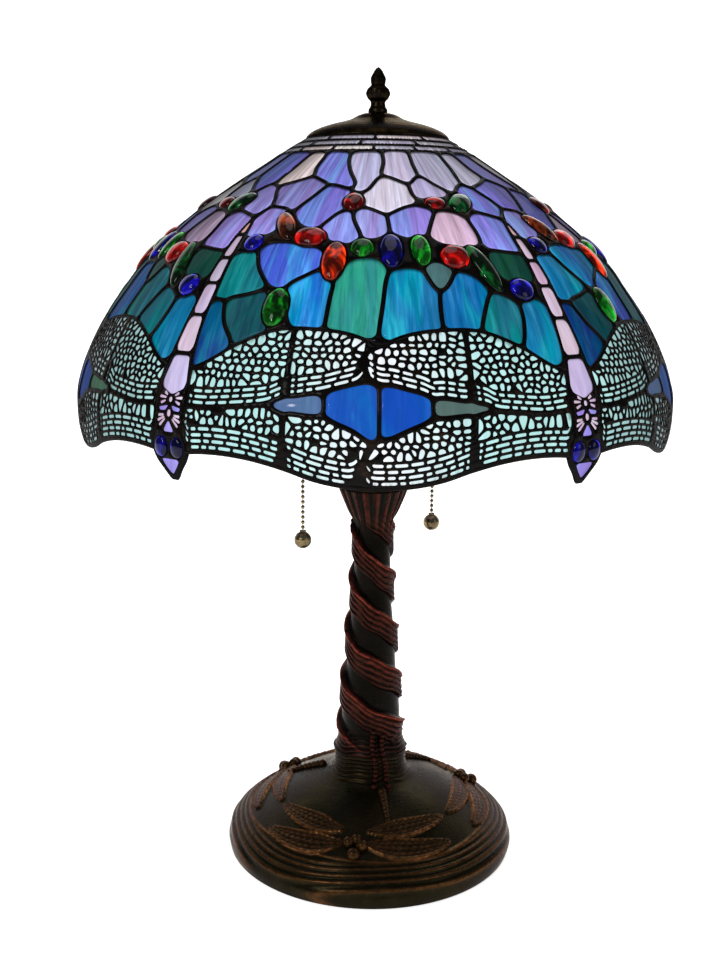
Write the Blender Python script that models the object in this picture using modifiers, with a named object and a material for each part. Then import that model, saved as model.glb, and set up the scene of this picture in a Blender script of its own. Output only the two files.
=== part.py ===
"""Leaded-glass table lamp: a cast bronze foot with a twisted trunk, a two-light cluster with pull
chains, and a domed shade of five glass sectors, each with a dragonfly, held by a cap and a finial.

Lengths are written in millimetres and turned into metres by MM when a mesh is made. The lamp
stands on z = 0 with its rod on the Z axis. The front is towards -Y.
"""
import math

import bmesh
import bpy
import numpy as np
from mathutils import Matrix, Vector

MM = 0.001
GAP = 0.3                  # running gap between neighbouring pieces
COLLECTION = "stained_glass_lamp"

# foot
BASE_RADIUS = 119.0
BASE_TOP = 84.0            # top of the foot's neck, where the trunk stands
RIM_BOTTOM = 1.2           # the felt stands this much proud of the casting
PAD_RADIUS = 112.5
PAD_THICK = 1.9
PLATE_THICK = 1.2
BALLAST_RADIUS = 88.0
BALLAST_BOTTOM = 12.0
BOSS_BOTTOM = 31.0
INLET_HEIGHT = 11.0        # cord inlet, at the back of the rim
INLET_RADIUS = 4.0

# rod and trunk
PIPE_RADIUS = 4.9
PIPE_BORE = 3.2
PIPE_HOLE = PIPE_RADIUS + GAP
PIPE_BOTTOM = 4.8
PIPE_TOP = 407.0
STEM_TOP = 306.0
STEM_STEPS = 24
CAP_THICK = 3.0            # cover over the open top of the trunk
TWIST_STARTS = 2           # grooved bands that wind round the trunk
TWIST_PITCH = 84.0         # height of one whole turn of a band
BAND_RISE = 1.3            # bands stand out of the mean surface by this
CORE_DROP = 2.0            # the smooth core between them lies below it by this

# light cluster
CLUSTER_HEIGHT = 411.0     # where the socket axes cross the rod
CLUSTER_RADIUS = 18.0
CLUSTER_BOTTOM = 398.4
CLUSTER_TOP = 422.0
SOCKET_AZIMUTHS = {"right": 31.0, "left": 211.0}     # degrees from +X
SOCKET_RISE = 10.0         # degrees above level
SHELL_START = 46.4
SHELL_END = 84.0
SHELL_RADIUS = 17.0
CORE_RADIUS = 15.2
THREAD_RADIUS = 13.0       # the bulb's screw cap
CAVITY_DEPTH = 27.0        # of the socket that the cap screws into
BULB_RADIUS = 30.0
BULB_LENGTH = 84.0
BULB_WALL = 1.5
BELL_AT = 58.0             # the pull chain's bell, along the socket
BELL_END = 27.0            # its mouth, from the socket's axis
BELL_TURNS = {"right": 13.0, "left": -13.0}          # degrees round the socket's axis
BALL_RADIUS = 7.0
BALL_HEIGHT = 266.5
BEAD_PITCH = 4.1
BEAD_RADIUS = 1.6
BEAD_LINK = 0.5            # the wire between two beads
COUPLER_LENGTH = 6.0

# riser, cap and finial
RISER_RADIUS = 3.1
RISER_BORE = 3.4
RISER_TOP = 606.0
SEAT = 593.0               # the vase cap rests here
LAMP_HEIGHT = 628.0

# shade
SECTORS = 5
GLASS = 3.0
LEAD = 1.0                 # solder-filled gap between glass panels
CROWN_TOP = 575.2
CROWN_BOTTOM = 562.9
HEAD_TIP = 349.0
TAIL_TIP = 513.0
RIM_WIRE = 1.5
RING_STEPS = 40
SHADE_PROFILE = [(343, 222.0), (350, 225.0), (362, 228.0), (375, 229.0), (390, 228.4), (405, 224.6),
                 (420, 218.5), (435, 211.0), (450, 201.8), (465, 191.0), (480, 179.8), (495, 166.0),
                 (510, 149.5), (525, 130.5), (540, 109.0), (555, 86.0), (565, 70.5), (576, 52.0)]
# edges of the wing band, by degrees from the middle of a sector
WING_TOP = [(0, 438.0), (3, 442.5), (12, 447.5), (18, 446.5), (25, 437.0), (31, 424.0), (36, 417.0)]
WING_BOTTOM = [(0, 352.5), (5, 353.3), (10, 357.0), (15, 363.5), (20, 368.0), (30, 369.5), (36, 366.0)]
# half-width of a dragonfly from its beak to the tip of its tail, by height
DRAGONFLY = [(349, 1.5), (355, 5.6), (362, 11.0), (370, 14.0), (380, 12.0), (388, 12.2), (400, 12.6),
             (410, 12.2), (420, 10.2), (429, 9.0), (440, 7.6), (455, 6.4), (470, 6.2), (488, 4.8),
             (503, 3.6), (513, 1.5)]

LOOKS = {                  # colour, metallic, roughness
    "bronze": ((0.060, 0.032, 0.020), 0.9, 0.42),
    "iron": ((0.10, 0.10, 0.11), 0.8, 0.7),
    "felt": ((0.02, 0.06, 0.03), 0.0, 0.95),
    "steel": ((0.45, 0.46, 0.48), 1.0, 0.35),
    "brass": ((0.56, 0.40, 0.16), 1.0, 0.3),
    "antique_brass": ((0.30, 0.24, 0.13), 1.0, 0.35),
    "phenolic": ((0.03, 0.03, 0.03), 0.0, 0.5),
    "bulb_glass": ((0.95, 0.93, 0.88), 0.0, 0.3),
    "crown_glass": ((0.75, 0.70, 0.80), 0.0, 0.15),
    "mosaic_glass": ((0.30, 0.42, 0.80), 0.0, 0.15),
    "wing_glass": ((0.72, 0.88, 0.90), 0.0, 0.15),
    "dragonfly_glass": ((0.72, 0.62, 0.85), 0.0, 0.15),
    "solder": ((0.05, 0.04, 0.035), 0.9, 0.4),
}


# ---------------------------------------------------------------- scene and helpers

def clear_scene():
    for obj in list(bpy.data.objects):
        bpy.data.objects.remove(obj, do_unlink=True)


def make_collection(name):
    collection = bpy.data.collections.new(name)
    bpy.context.scene.collection.children.link(collection)
    return collection


def make_material(name):
    colour, metallic, roughness = LOOKS[name]
    material = bpy.data.materials.new(name)
    material.use_nodes = True
    shader = material.node_tree.nodes["Principled BSDF"]
    shader.inputs["Base Color"].default_value = (*colour, 1.0)
    shader.inputs["Metallic"].default_value = metallic
    shader.inputs["Roughness"].default_value = roughness
    return material


clear_scene()
PARTS = make_collection(COLLECTION)
CUTTERS = make_collection("cutters")
MATERIALS = {name: make_material(name) for name in LOOKS}


def add_object(name, data, look, parent=None, at=(0, 0, 0)):
    """Links a part under an optional parent empty; at is in millimetres in the parent's frame."""
    obj = bpy.data.objects.new(name, data)
    PARTS.objects.link(obj)
    obj.data.materials.append(MATERIALS[look])
    obj.parent = parent
    obj.location = Vector(at) * MM
    return obj


def smooth_shade(mesh, angle=35):
    mesh.shade_smooth()
    mesh.set_sharp_from_angle(angle=math.radians(angle))


def profile_mesh(name, points, closed):
    """An edge chain in the XZ plane from (radius, height) pairs, outer side first, top to bottom."""
    mesh = bpy.data.meshes.new(name)
    edges = [(i, i + 1) for i in range(len(points) - 1)]
    if closed:
        edges.append((len(points) - 1, 0))
    mesh.from_pydata([(r * MM, 0, z * MM) for r, z in points], edges, [])
    return mesh


def screw_modifier(obj, steps):
    screw = obj.modifiers.new("turn", "SCREW")
    screw.axis = "Z"
    screw.steps = steps
    screw.render_steps = steps
    screw.use_merge_vertices = True
    screw.merge_threshold = 0.00001
    screw.use_smooth_shade = True


def turned(name, points, look, steps=24, parent=None, at=(0, 0, 0)):
    """A solid of revolution; the profile is open when both of its ends lie on the axis."""
    closed = not (points[0][0] == 0 and points[-1][0] == 0)
    obj = add_object(name, profile_mesh(name, points, closed), look, parent, at)
    screw_modifier(obj, steps)
    return obj


def tube_profile(outer, inner, top, bottom):
    return [(outer, top), (outer, bottom), (inner, bottom), (inner, top)]


def evaluated_copy(obj):
    """The object's mesh with its modifiers worked in."""
    bpy.context.view_layer.update()
    depsgraph = bpy.context.evaluated_depsgraph_get()
    return bpy.data.meshes.new_from_object(obj.evaluated_get(depsgraph))


def drill(target, name, radius, start, end):
    """Cuts a round hole through target from one point to another."""
    start, end = Vector(start) * MM, Vector(end) * MM
    along = end - start
    bm = bmesh.new()
    bmesh.ops.create_cone(bm, cap_ends=True, segments=16, radius1=radius * MM,
                          radius2=radius * MM, depth=along.length)
    mesh = bpy.data.meshes.new(name)
    bm.to_mesh(mesh)
    bm.free()
    cutter = bpy.data.objects.new(name, mesh)
    CUTTERS.objects.link(cutter)
    cutter.matrix_world = (Matrix.Translation((start + end) / 2)
                           @ Vector((0, 0, 1)).rotation_difference(along).to_matrix().to_4x4())
    cutter.hide_render = True
    cutter.display_type = "WIRE"
    cut = target.modifiers.new(name, "BOOLEAN")
    cut.operation = "DIFFERENCE"
    cut.object = cutter


def hexagon_nut(name, across, bore, bottom, top, look):
    """A hexagonal nut on the rod, drilled after it is made."""
    bm = bmesh.new()
    bmesh.ops.create_cone(bm, cap_ends=True, segments=6, radius1=across * MM, radius2=across * MM,
                          depth=(top - bottom) * MM)
    mesh = bpy.data.meshes.new(name)
    bm.to_mesh(mesh)
    bm.free()
    nut = add_object(name, mesh, look, at=(0, 0, (top + bottom) / 2))
    drill(nut, name + "_hole", bore, (0, 0, bottom - 2), (0, 0, top + 2))
    return nut


def curve_through(points):
    """A smooth function through (position, value) pairs: cubic pieces with averaged slopes."""
    xs = np.array([p[0] for p in points], float)
    ys = np.array([p[1] for p in points], float)
    slopes = np.gradient(ys, xs)

    def value(x):
        x = min(max(x, xs[0]), xs[-1])
        i = min(int(np.searchsorted(xs, x, side="right")) - 1, len(xs) - 2)
        width = xs[i + 1] - xs[i]
        t = (x - xs[i]) / width
        blend = t * t * (3 - 2 * t)
        ease_in = t * (1 - t) ** 2 * slopes[i] * width
        ease_out = t * t * (t - 1) * slopes[i + 1] * width
        return ys[i] * (1 - blend) + ys[i + 1] * blend + ease_in + ease_out

    return value


# ---------------------------------------------------------------- foot and trunk

STEM_OUTER = curve_through([(84.3, 29.8), (91, 26.6), (100, 25.6), (112, 26.2), (125, 25.4), (138, 24),
                            (150, 22.6), (165, 21.6), (180, 20.3), (197, 19.2), (210, 17.8), (222, 16.6),
                            (240, 16.8), (255, 16.1), (268, 15.4), (276, 16.0), (284, 19.2), (292, 22.5),
                            (300, 25.8), (306, 28.0)])
STEM_BORE = curve_through([(84.3, 19), (150, 15.5), (210, 10.5), (270, 9.8), (306, 20)])


def make_base_casting():
    outer = [(30.5, BASE_TOP), (29.2, 76), (29.4, 69), (33.5, 62), (46, 57.4), (66, 49.3), (97, 31.5),
             (109, 23.5), (116.5, 16), (BASE_RADIUS, 9), (118, RIM_BOTTOM)]
    inner = [(114, RIM_BOTTOM), (111, 16), (93.5, 28), (63, 43.5), (42, 52.5), (26.5, 58),
             (26, BASE_TOP - 5), (12, BASE_TOP - 5), (12, BOSS_BOTTOM), (PIPE_HOLE, BOSS_BOTTOM),
             (PIPE_HOLE, BASE_TOP)]
    casting = turned("base_casting", outer + inner, "bronze", RING_STEPS)
    drill(casting, "inlet_hole", INLET_RADIUS + GAP, (0, BASE_RADIUS - 14, INLET_HEIGHT),
          (0, BASE_RADIUS + 9, INLET_HEIGHT))


def make_base_fillings():
    ballast = [(84, BOSS_BOTTOM - GAP), (BALLAST_RADIUS, 27), (BALLAST_RADIUS, BALLAST_BOTTOM),
               (PIPE_HOLE, BALLAST_BOTTOM), (PIPE_HOLE, BOSS_BOTTOM - GAP)]
    turned("base_ballast", ballast, "iron", RING_STEPS)
    plate_bottom = PAD_THICK + GAP
    turned("base_plate", [(0, plate_bottom + PLATE_THICK), (PAD_RADIUS, plate_bottom + PLATE_THICK),
                          (PAD_RADIUS, plate_bottom), (0, plate_bottom)], "steel", RING_STEPS)
    turned("felt_pad", [(0, PAD_THICK), (PAD_RADIUS, PAD_THICK), (PAD_RADIUS, 0), (0, 0)],
           "felt", RING_STEPS)
    turned("rod_washer", tube_profile(14, PIPE_HOLE, BALLAST_BOTTOM - GAP, BALLAST_BOTTOM - 1.8),
           "steel", 20)
    hexagon_nut("rod_nut", 9.5, PIPE_HOLE, PIPE_BOTTOM, BALLAST_BOTTOM - 2.1, "steel")


def make_cord_bushing():
    """A flanged bush whose axis runs out of the rim's back, along +Y."""
    axis = bpy.data.objects.new("inlet_axis", None)
    PARTS.objects.link(axis)
    axis.location = (0, 0, INLET_HEIGHT * MM)
    axis.rotation_euler = (math.radians(-90), 0, 0)
    flange = BASE_RADIUS + 2 * GAP
    profile = [(6.2, flange + 2), (6.8, flange + 1), (6.8, flange), (INLET_RADIUS, flange),
               (INLET_RADIUS, 111.5), (2.9, 111.5), (2.9, flange + 2)]
    turned("cord_bushing", profile, "phenolic", 16, axis)


def make_pipe_and_spacer():
    turned("lamp_pipe", tube_profile(PIPE_RADIUS, PIPE_BORE, PIPE_TOP, PIPE_BOTTOM), "brass", 16)
    cap_top = STEM_TOP + CAP_THICK
    cap = [(25.5, cap_top), (27.2, cap_top - 1.4), (27.2, STEM_TOP + GAP), (PIPE_HOLE, STEM_TOP + GAP),
           (PIPE_HOLE, cap_top)]
    turned("stem_cap", cap, "bronze", 24)
    turned("spacer_tube", tube_profile(7.0, PIPE_HOLE, CLUSTER_BOTTOM - 0.4, cap_top + GAP), "brass", 16)


def band_height(angle, height):
    """1 on a grooved band, 0 on the smooth core, with a soft edge between them."""
    phase = TWIST_STARTS * angle + 2 * math.pi * TWIST_STARTS * height / TWIST_PITCH
    return 0.5 + 0.5 * math.tanh(2.5 * (math.sin(phase) + 0.25))


def wind_bands(mesh):
    """Raises the winding bands on the trunk's outer side, fading out at its two ends."""
    for vertex in mesh.vertices:
        x, y, z = vertex.co / MM
        radius = math.hypot(x, y)
        if radius < STEM_BORE(z) + 2:
            continue
        fade = min(1, max(0, (z - 88) / 14)) * min(1, max(0, (292 - z) / 20))
        lift = band_height(math.atan2(y, x), z) * (BAND_RISE + CORE_DROP) - CORE_DROP
        factor = 1 + fade * lift / radius
        vertex.co.x *= factor
        vertex.co.y *= factor


def make_stem_casting():
    bottom = BASE_TOP + GAP
    heights = np.linspace(STEM_TOP, bottom, 26)
    outer = [(STEM_OUTER(z), z) for z in heights]
    inner = [(STEM_BORE(z), z) for z in (bottom, 150, 210, 270, STEM_TOP)]
    stem = turned("stem_casting", outer + inner, "bronze", STEM_STEPS)
    mesh = evaluated_copy(stem)
    stem.modifiers.clear()
    stem.data = mesh
    wind_bands(mesh)
    smooth_shade(mesh, 50)


# ---------------------------------------------------------------- light cluster

def make_cluster():
    wall = 5.5
    body = [(16.5, CLUSTER_TOP), (CLUSTER_RADIUS, CLUSTER_TOP - 3), (CLUSTER_RADIUS, CLUSTER_BOTTOM + 4.6),
            (13, CLUSTER_BOTTOM), (PIPE_HOLE, CLUSTER_BOTTOM), (PIPE_HOLE, CLUSTER_BOTTOM + 3.6),
            (CLUSTER_RADIUS - wall, CLUSTER_BOTTOM + 4.1), (CLUSTER_RADIUS - wall, CLUSTER_TOP)]
    cluster = turned("cluster_body", body, "brass", 24)
    for side, azimuth in SOCKET_AZIMUTHS.items():
        along = socket_direction(azimuth)
        centre = Vector((0, 0, CLUSTER_HEIGHT))
        drill(cluster, "nipple_hole_" + side, 4.8 + GAP, centre + along * 8, centre + along * 30)
    bottom = CLUSTER_TOP + GAP
    cap = [(6.5, bottom + 14.7), (7.5, bottom + 12.7), (8, bottom + 5.7), (15.5, bottom + 3.7),
           (CLUSTER_RADIUS, bottom), (RISER_BORE, bottom), (RISER_BORE, bottom + 14.7)]
    turned("cluster_cap", cap, "brass", 24)


def socket_direction(azimuth):
    rise = math.radians(SOCKET_RISE)
    turn = math.radians(azimuth)
    return Vector((math.cos(rise) * math.cos(turn), math.cos(rise) * math.sin(turn), math.sin(rise)))


def make_axis(name, origin, direction):
    """An empty whose +Z lies along a direction, with +X level."""
    side = Vector((0, 0, 1)).cross(direction).normalized()
    frame = Matrix((side, direction.cross(side), direction)).transposed().to_4x4()
    empty = bpy.data.objects.new(name, None)
    PARTS.objects.link(empty)
    empty.matrix_world = Matrix.Translation(Vector(origin) * MM) @ frame
    return empty


def make_socket(side, axis):
    turned("nipple_" + side, tube_profile(4.8, 3.2, 31, 13), "brass", 12, axis)
    cap = [(17, 46), (17, 38), (15, 33), (9, 28.5), (8, 26), (5.1, 26), (5.1, 29.5), (8.2, 29.8),
           (14, 34.3), (16, 38.3), (16, 46)]
    turned("socket_cap_" + side, cap, "brass", 16, axis)
    shell = [(17.6, SHELL_END), (17.6, SHELL_END - 2), (SHELL_RADIUS, SHELL_END - 3),
             (SHELL_RADIUS, SHELL_START), (SHELL_RADIUS - 1, SHELL_START), (SHELL_RADIUS - 1, SHELL_END)]
    turned("socket_shell_" + side, shell, "brass", 16, axis)
    core_end = SHELL_END - 0.5
    cavity_floor = core_end - CAVITY_DEPTH
    cavity_radius = THREAD_RADIUS + 0.5
    core = [(0, cavity_floor), (cavity_radius, cavity_floor), (cavity_radius, core_end),
            (CORE_RADIUS, core_end), (CORE_RADIUS, 40), (6, 40), (6, 43), (0, 43)]
    turned("socket_core_" + side, core, "phenolic", 16, axis)


def make_bulb(side, axis):
    cap = [(0, SHELL_END + 2), (10.5, SHELL_END + 2), (THREAD_RADIUS, SHELL_END), (THREAD_RADIUS, 62),
           (8.5, 58.5), (3.5, 57.2), (0, 57.2)]
    turned("bulb_cap_" + side, cap, "steel", 16, axis)
    start = SHELL_END + 2 + GAP
    neck, shoulder = 13.2, 19.5
    outer = bulb_outline(start, 0) + [(shoulder, start + 22), (14.5, start + 10), (neck, start)]
    inner = [(neck - BULB_WALL, start), (shoulder - BULB_WALL, start + 22)]
    turned("bulb_glass_" + side, outer + inner + bulb_outline(start, BULB_WALL)[::-1], "bulb_glass",
           16, axis)


def bulb_outline(start, inset):
    """The round end of a bulb, from its tip to below its widest place."""
    middle = start + BULB_LENGTH - BULB_RADIUS
    radius = BULB_RADIUS - inset
    outline = [(0, middle + radius)]
    for step in range(1, 6):
        angle = math.radians(90 - step * 23)
        outline.append((radius * math.cos(angle), middle + radius * math.sin(angle)))
    return outline


def make_pull(side, axis):
    """The bell on the shell, the link in it, and the coupler, chain and ball that hang from it."""
    turn = math.radians(BELL_TURNS[side])
    frame = axis.matrix_world.to_3x3()
    outwards = frame @ Vector((math.sin(turn), -math.cos(turn), 0))
    root = axis.matrix_world.translation / MM + frame @ Vector((0, 0, BELL_AT))
    bell_axis = make_axis("bell_axis_" + side, root, outwards)
    shell = bpy.data.objects["socket_shell_" + side]
    drill(shell, "bell_hole_" + side, 3.0 + GAP, root + outwards * 12, root + outwards * 22)
    bell = [(4.6, BELL_END), (3.6, BELL_END - 1.5), (3.0, BELL_END - 5), (3.0, CORE_RADIUS + 0.5),
            (1.6, CORE_RADIUS + 0.5), (1.6, BELL_END - 5), (3.4, BELL_END)]
    turned("pull_bell_" + side, bell, "brass", 12, bell_axis)
    link_end = BELL_END - 2
    link = [(0, link_end), (1.1, link_end - 0.6), (0.8, link_end - 3), (0.8, CORE_RADIUS + 1),
            (0, CORE_RADIUS + 1)]
    turned("pull_link_" + side, link, "brass", 8, bell_axis)
    hang_from(side, root + outwards * (link_end + 2 * GAP))


def hang_from(side, exit_point):
    """Coupler, chain and ball, straight down from the link's end."""
    x, y, top = exit_point
    end = top - COUPLER_LENGTH
    coupler = [(0, top), (1.0, top - 0.5), (1.6, top - 2), (1.6, end + 1), (1.0, end), (0, end)]
    turned("chain_coupler_" + side, coupler, "antique_brass", 8, at=(x, y, 0))
    neck = BALL_HEIGHT + BALL_RADIUS + 2
    count = round((end - neck - 2 * GAP) / BEAD_PITCH)
    pitch = (end - neck - 2 * GAP) / count
    beads = [(0, end - GAP)]
    for bead in range(count):
        middle = end - GAP - (bead + 0.5) * pitch
        beads += [(BEAD_RADIUS, middle), (BEAD_LINK, middle - pitch / 2)]
    beads += [(0, beads[-1][1])]
    turned("pull_chain_" + side, beads, "antique_brass", 6, at=(x, y, 0))
    ball = [(0, neck), (2.2, neck), (2.6, neck - 2.2)]
    for step in range(6):
        angle = math.radians(66 - step * 28)
        ball.append((BALL_RADIUS * math.cos(angle), BALL_HEIGHT + BALL_RADIUS * math.sin(angle)))
    ball.append((0, BALL_HEIGHT - BALL_RADIUS))
    turned("pull_ball_" + side, ball, "antique_brass", 12, at=(x, y, 0))


# ---------------------------------------------------------------- riser, cap and finial

def make_riser():
    turned("riser_rod", [(0, RISER_TOP), (RISER_RADIUS, RISER_TOP), (RISER_RADIUS, CLUSTER_TOP - 1),
                         (0, CLUSTER_TOP - 1)], "brass", 12)
    hexagon_nut("seat_nut", 7, RISER_BORE, SEAT - 6.4, SEAT - 2.2, "brass")
    turned("seat_washer", tube_profile(11, RISER_BORE, SEAT - 0.5, SEAT - 1.9), "brass", 20)


def make_vase_cap():
    outer = [(RISER_BORE, SEAT + 1.2), (12, SEAT + 1.0), (20, 589.9), (28, 587.5), (44, 583.1),
             (51, 579.7), (54.2, 576.6)]
    inner = [(52.8, 576.2), (49.8, 578.6), (43, 582), (27, 586.4), (19.5, 588.8), (11.5, SEAT - 0.2),
             (RISER_BORE, SEAT)]
    turned("vase_cap", outer + inner, "bronze", 30)


def make_finial():
    bottom = SEAT + 1.5
    outer = [(0, LAMP_HEIGHT), (3.0, 625.6), (4.6, 622.6), (5.9, 620), (5.6, 617), (5.2, 615.5),
             (8.3, 612), (8.8, 609), (8.6, 607), (7.6, 604.8), (5.7, 602.6), (5.8, 599.5), (7.2, 597.4),
             (7.2, bottom)]
    hollow = 4.5
    turned("finial", outer + [(hollow, bottom), (hollow, RISER_TOP + 2), (0, RISER_TOP + 2)], "bronze", 16)
    turned("finial_insert", tube_profile(hollow - GAP, RISER_BORE, RISER_TOP + 1, bottom + 0.5), "brass", 12)


# ---------------------------------------------------------------- shade

SHADE_RADIUS = curve_through(SHADE_PROFILE)
BODY_WIDTH = curve_through(DRAGONFLY)
WING_TOP_AT = curve_through(WING_TOP)
WING_BOTTOM_AT = curve_through(WING_BOTTOM)


def shade_point(angle, height):
    """A point of the shade's outer face; angle in degrees from the front, towards +X."""
    radius = SHADE_RADIUS(height)
    turn = math.radians(angle)
    return Vector((radius * math.sin(turn), -radius * math.cos(turn), height)) * MM


def body_angle(height):
    """Degrees from a dragonfly's centre line to the edge of its neighbour panel."""
    width = LEAD / 2
    if height < TAIL_TIP + 2:
        width = LEAD + BODY_WIDTH(height)
    return math.degrees(width / SHADE_RADIUS(height))


def grid_mesh(name, columns, rows, place):
    """A grid whose points place(across, down) puts on the shade, across and down from 0 to 1."""
    bm = bmesh.new()
    bmesh.ops.create_grid(bm, x_segments=columns, y_segments=rows, size=0.5)
    for vertex in bm.verts:
        vertex.co = place(vertex.co.x + 0.5, 0.5 - vertex.co.y)
    bmesh.ops.recalc_face_normals(bm, faces=bm.faces)
    first = next(iter(bm.faces))
    middle = first.calc_center_median()
    if first.normal.dot(Vector((middle.x, middle.y, 0))) < 0:
        bmesh.ops.reverse_faces(bm, faces=bm.faces)
    mesh = bpy.data.meshes.new(name)
    bm.to_mesh(mesh)
    bm.free()
    return mesh


def glass_panel(name, look, columns, rows, place):
    panel = add_object(name, grid_mesh(name, columns, rows, place), look)
    solid = panel.modifiers.new("thickness", "SOLIDIFY")
    solid.thickness = GLASS * MM
    solid.offset = -1
    panel.data.shade_smooth()


def between_dragonflies(middle, top_of, bottom_of):
    """Places a panel that spans from one dragonfly to the next, round the angle middle."""
    half = 180 / SECTORS

    def place(across, down):
        side = 2 * across - 1
        reach = half
        for _ in range(3):         # the edge's angle and its height depend on each other
            offset = abs(side) * reach
            height = top_of(offset) * (1 - down) + bottom_of(offset) * down
            reach = half - body_angle(height)
        return shade_point(middle + side * reach, height)

    return place


def on_dragonfly(middle):
    def place(across, down):
        height = TAIL_TIP + (HEAD_TIP - TAIL_TIP) * down
        reach = math.degrees(BODY_WIDTH(height) / SHADE_RADIUS(height))
        return shade_point(middle + (2 * across - 1) * reach, height)

    return place


def make_sector(number):
    middle = 360 / SECTORS * (number - 1)
    upper = between_dragonflies(middle, lambda a: CROWN_BOTTOM - 0.8, lambda a: WING_TOP_AT(a) + 0.8)
    lower = between_dragonflies(middle, WING_TOP_AT, WING_BOTTOM_AT)
    glass_panel(f"mosaic_panel_{number}", "mosaic_glass", 10, 8, upper)
    glass_panel(f"wing_panel_{number}", "wing_glass", 10, 6, lower)
    glass_panel(f"dragonfly_{number}", "dragonfly_glass", 2, 14, on_dragonfly(middle + 180 / SECTORS))


def make_crown():
    outer = [(SHADE_RADIUS(z), z) for z in (CROWN_TOP, 569, CROWN_BOTTOM)]
    tangent = Vector((outer[-1][0] - outer[0][0], outer[-1][1] - outer[0][1])).normalized()
    inner = [(r + tangent.y * GLASS, z - tangent.x * GLASS) for r, z in reversed(outer)]
    turned("crown_bricks", outer + inner, "crown_glass", RING_STEPS)
    turned("shade_ring", tube_profile(50.2, 47.5, 575.6, 569), "brass", RING_STEPS)


def rim_outline():
    """One sector of the wire under the shade: along the wings, then round a dragonfly's beak."""
    half = 180 / SECTORS
    drop = RIM_WIRE + 1.2
    outline = []
    for offset in np.linspace(-half + 5, half - 5, 13):
        outline.append((offset, WING_BOTTOM_AT(abs(offset)) - drop))
    beak = [(height, BODY_WIDTH(height) + drop + 0.6) for height in (363, 357, 350)]
    down = [(half - math.degrees(width / SHADE_RADIUS(height)), height) for height, width in beak]
    up = [(2 * half - angle, height) for angle, height in reversed(down)]
    return outline + down + [(half, HEAD_TIP - drop)] + up


def make_rim():
    curve = bpy.data.curves.new("shade_rim", "CURVE")
    curve.dimensions = "3D"
    curve.bevel_depth = RIM_WIRE * MM
    curve.bevel_resolution = 0
    points = []
    for sector in range(SECTORS):
        for angle, height in rim_outline():
            centre = shade_point(angle + sector * 360 / SECTORS, height)
            inwards = Vector((centre.x, centre.y, 0)).normalized() * RIM_WIRE * MM
            points.append(centre - inwards)
    spline = curve.splines.new("POLY")
    spline.points.add(len(points) - 1)
    for target, point in zip(spline.points, points):
        target.co = (*point, 1)
    spline.use_cyclic_u = True
    add_object("shade_rim", curve, "solder")


# ---------------------------------------------------------------- the lamp

make_base_casting()
make_base_fillings()
make_cord_bushing()
make_pipe_and_spacer()
make_stem_casting()
make_cluster()
for side_name, side_azimuth in SOCKET_AZIMUTHS.items():
    socket_axis = make_axis("socket_axis_" + side_name, (0, 0, CLUSTER_HEIGHT),
                            socket_direction(side_azimuth))
    make_socket(side_name, socket_axis)
    make_bulb(side_name, socket_axis)
    make_pull(side_name, socket_axis)
make_riser()
make_vase_cap()
make_finial()
make_crown()
for sector_number in range(1, SECTORS + 1):
    make_sector(sector_number)
make_rim()
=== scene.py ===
"""Visual model of the stained glass table lamp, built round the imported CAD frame.

Lengths are in millimetres here. A place on the shade is (angle, height): degrees from the front, or from the
middle of its sector, towards +X, and height above the table.
"""

import math

import bpy
import numpy as np
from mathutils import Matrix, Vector
from mathutils.geometry import delaunay_2d_cdt


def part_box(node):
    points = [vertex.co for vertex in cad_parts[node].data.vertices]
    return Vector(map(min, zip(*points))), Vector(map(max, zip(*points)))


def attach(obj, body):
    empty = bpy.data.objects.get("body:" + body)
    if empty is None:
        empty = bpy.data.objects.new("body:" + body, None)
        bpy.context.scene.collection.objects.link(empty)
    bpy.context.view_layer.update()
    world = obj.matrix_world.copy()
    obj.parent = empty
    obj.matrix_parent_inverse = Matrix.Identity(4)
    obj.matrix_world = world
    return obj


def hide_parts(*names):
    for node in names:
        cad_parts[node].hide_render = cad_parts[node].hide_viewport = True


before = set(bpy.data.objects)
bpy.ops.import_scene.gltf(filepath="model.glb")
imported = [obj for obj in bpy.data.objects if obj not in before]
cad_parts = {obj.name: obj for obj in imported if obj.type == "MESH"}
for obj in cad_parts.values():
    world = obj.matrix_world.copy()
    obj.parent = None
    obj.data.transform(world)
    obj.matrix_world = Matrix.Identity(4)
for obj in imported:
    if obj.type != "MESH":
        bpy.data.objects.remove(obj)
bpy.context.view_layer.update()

MM = 0.001
SECTORS = 5
SECTOR = 360 / SECTORS
HALF_SECTOR = SECTOR / 2  # a dragonfly stands on each border between two sectors
TAIL_TOP = 513
HEAD_TIP = 349.0

# the shade's outer face: height, radius
SHADE_PROFILE = [
    (343, 222.0), (350, 225.0), (362, 228.0), (375, 229.0), (390, 228.4), (405, 224.6), (420, 218.5),
    (435, 211.0), (450, 201.8), (465, 191.0), (480, 179.8), (495, 166.0), (510, 149.5), (525, 130.5),
    (540, 109.0), (555, 86.0), (565, 70.5), (576, 52.0)]
CROWN_TOP, CROWN_ROWS, CROWN_BOTTOM = 575.2, (571.2, 567.0), 562.9
GLASS_DEPTH = 3.0  # glass and lead go this far in from the outer face
LEAD_GAP = 3.1  # lead seen between two pieces of glass
JEWEL_GAP = 1.7  # and round a jewel
UNDER_LEAD = 0.6  # the glass itself goes on this far under the lead
JEWEL_SCALE = 1.27
BEAD = 0.9  # how far the rounded edge of the lead reaches from the glass
OUTER_EDGE = 0.8  # the lead's height at a panel's outer edge, as a share of its crest
DEGREE = 3.2  # about a degree's length on the dome, for the flat picture in which lead is triangulated

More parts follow.
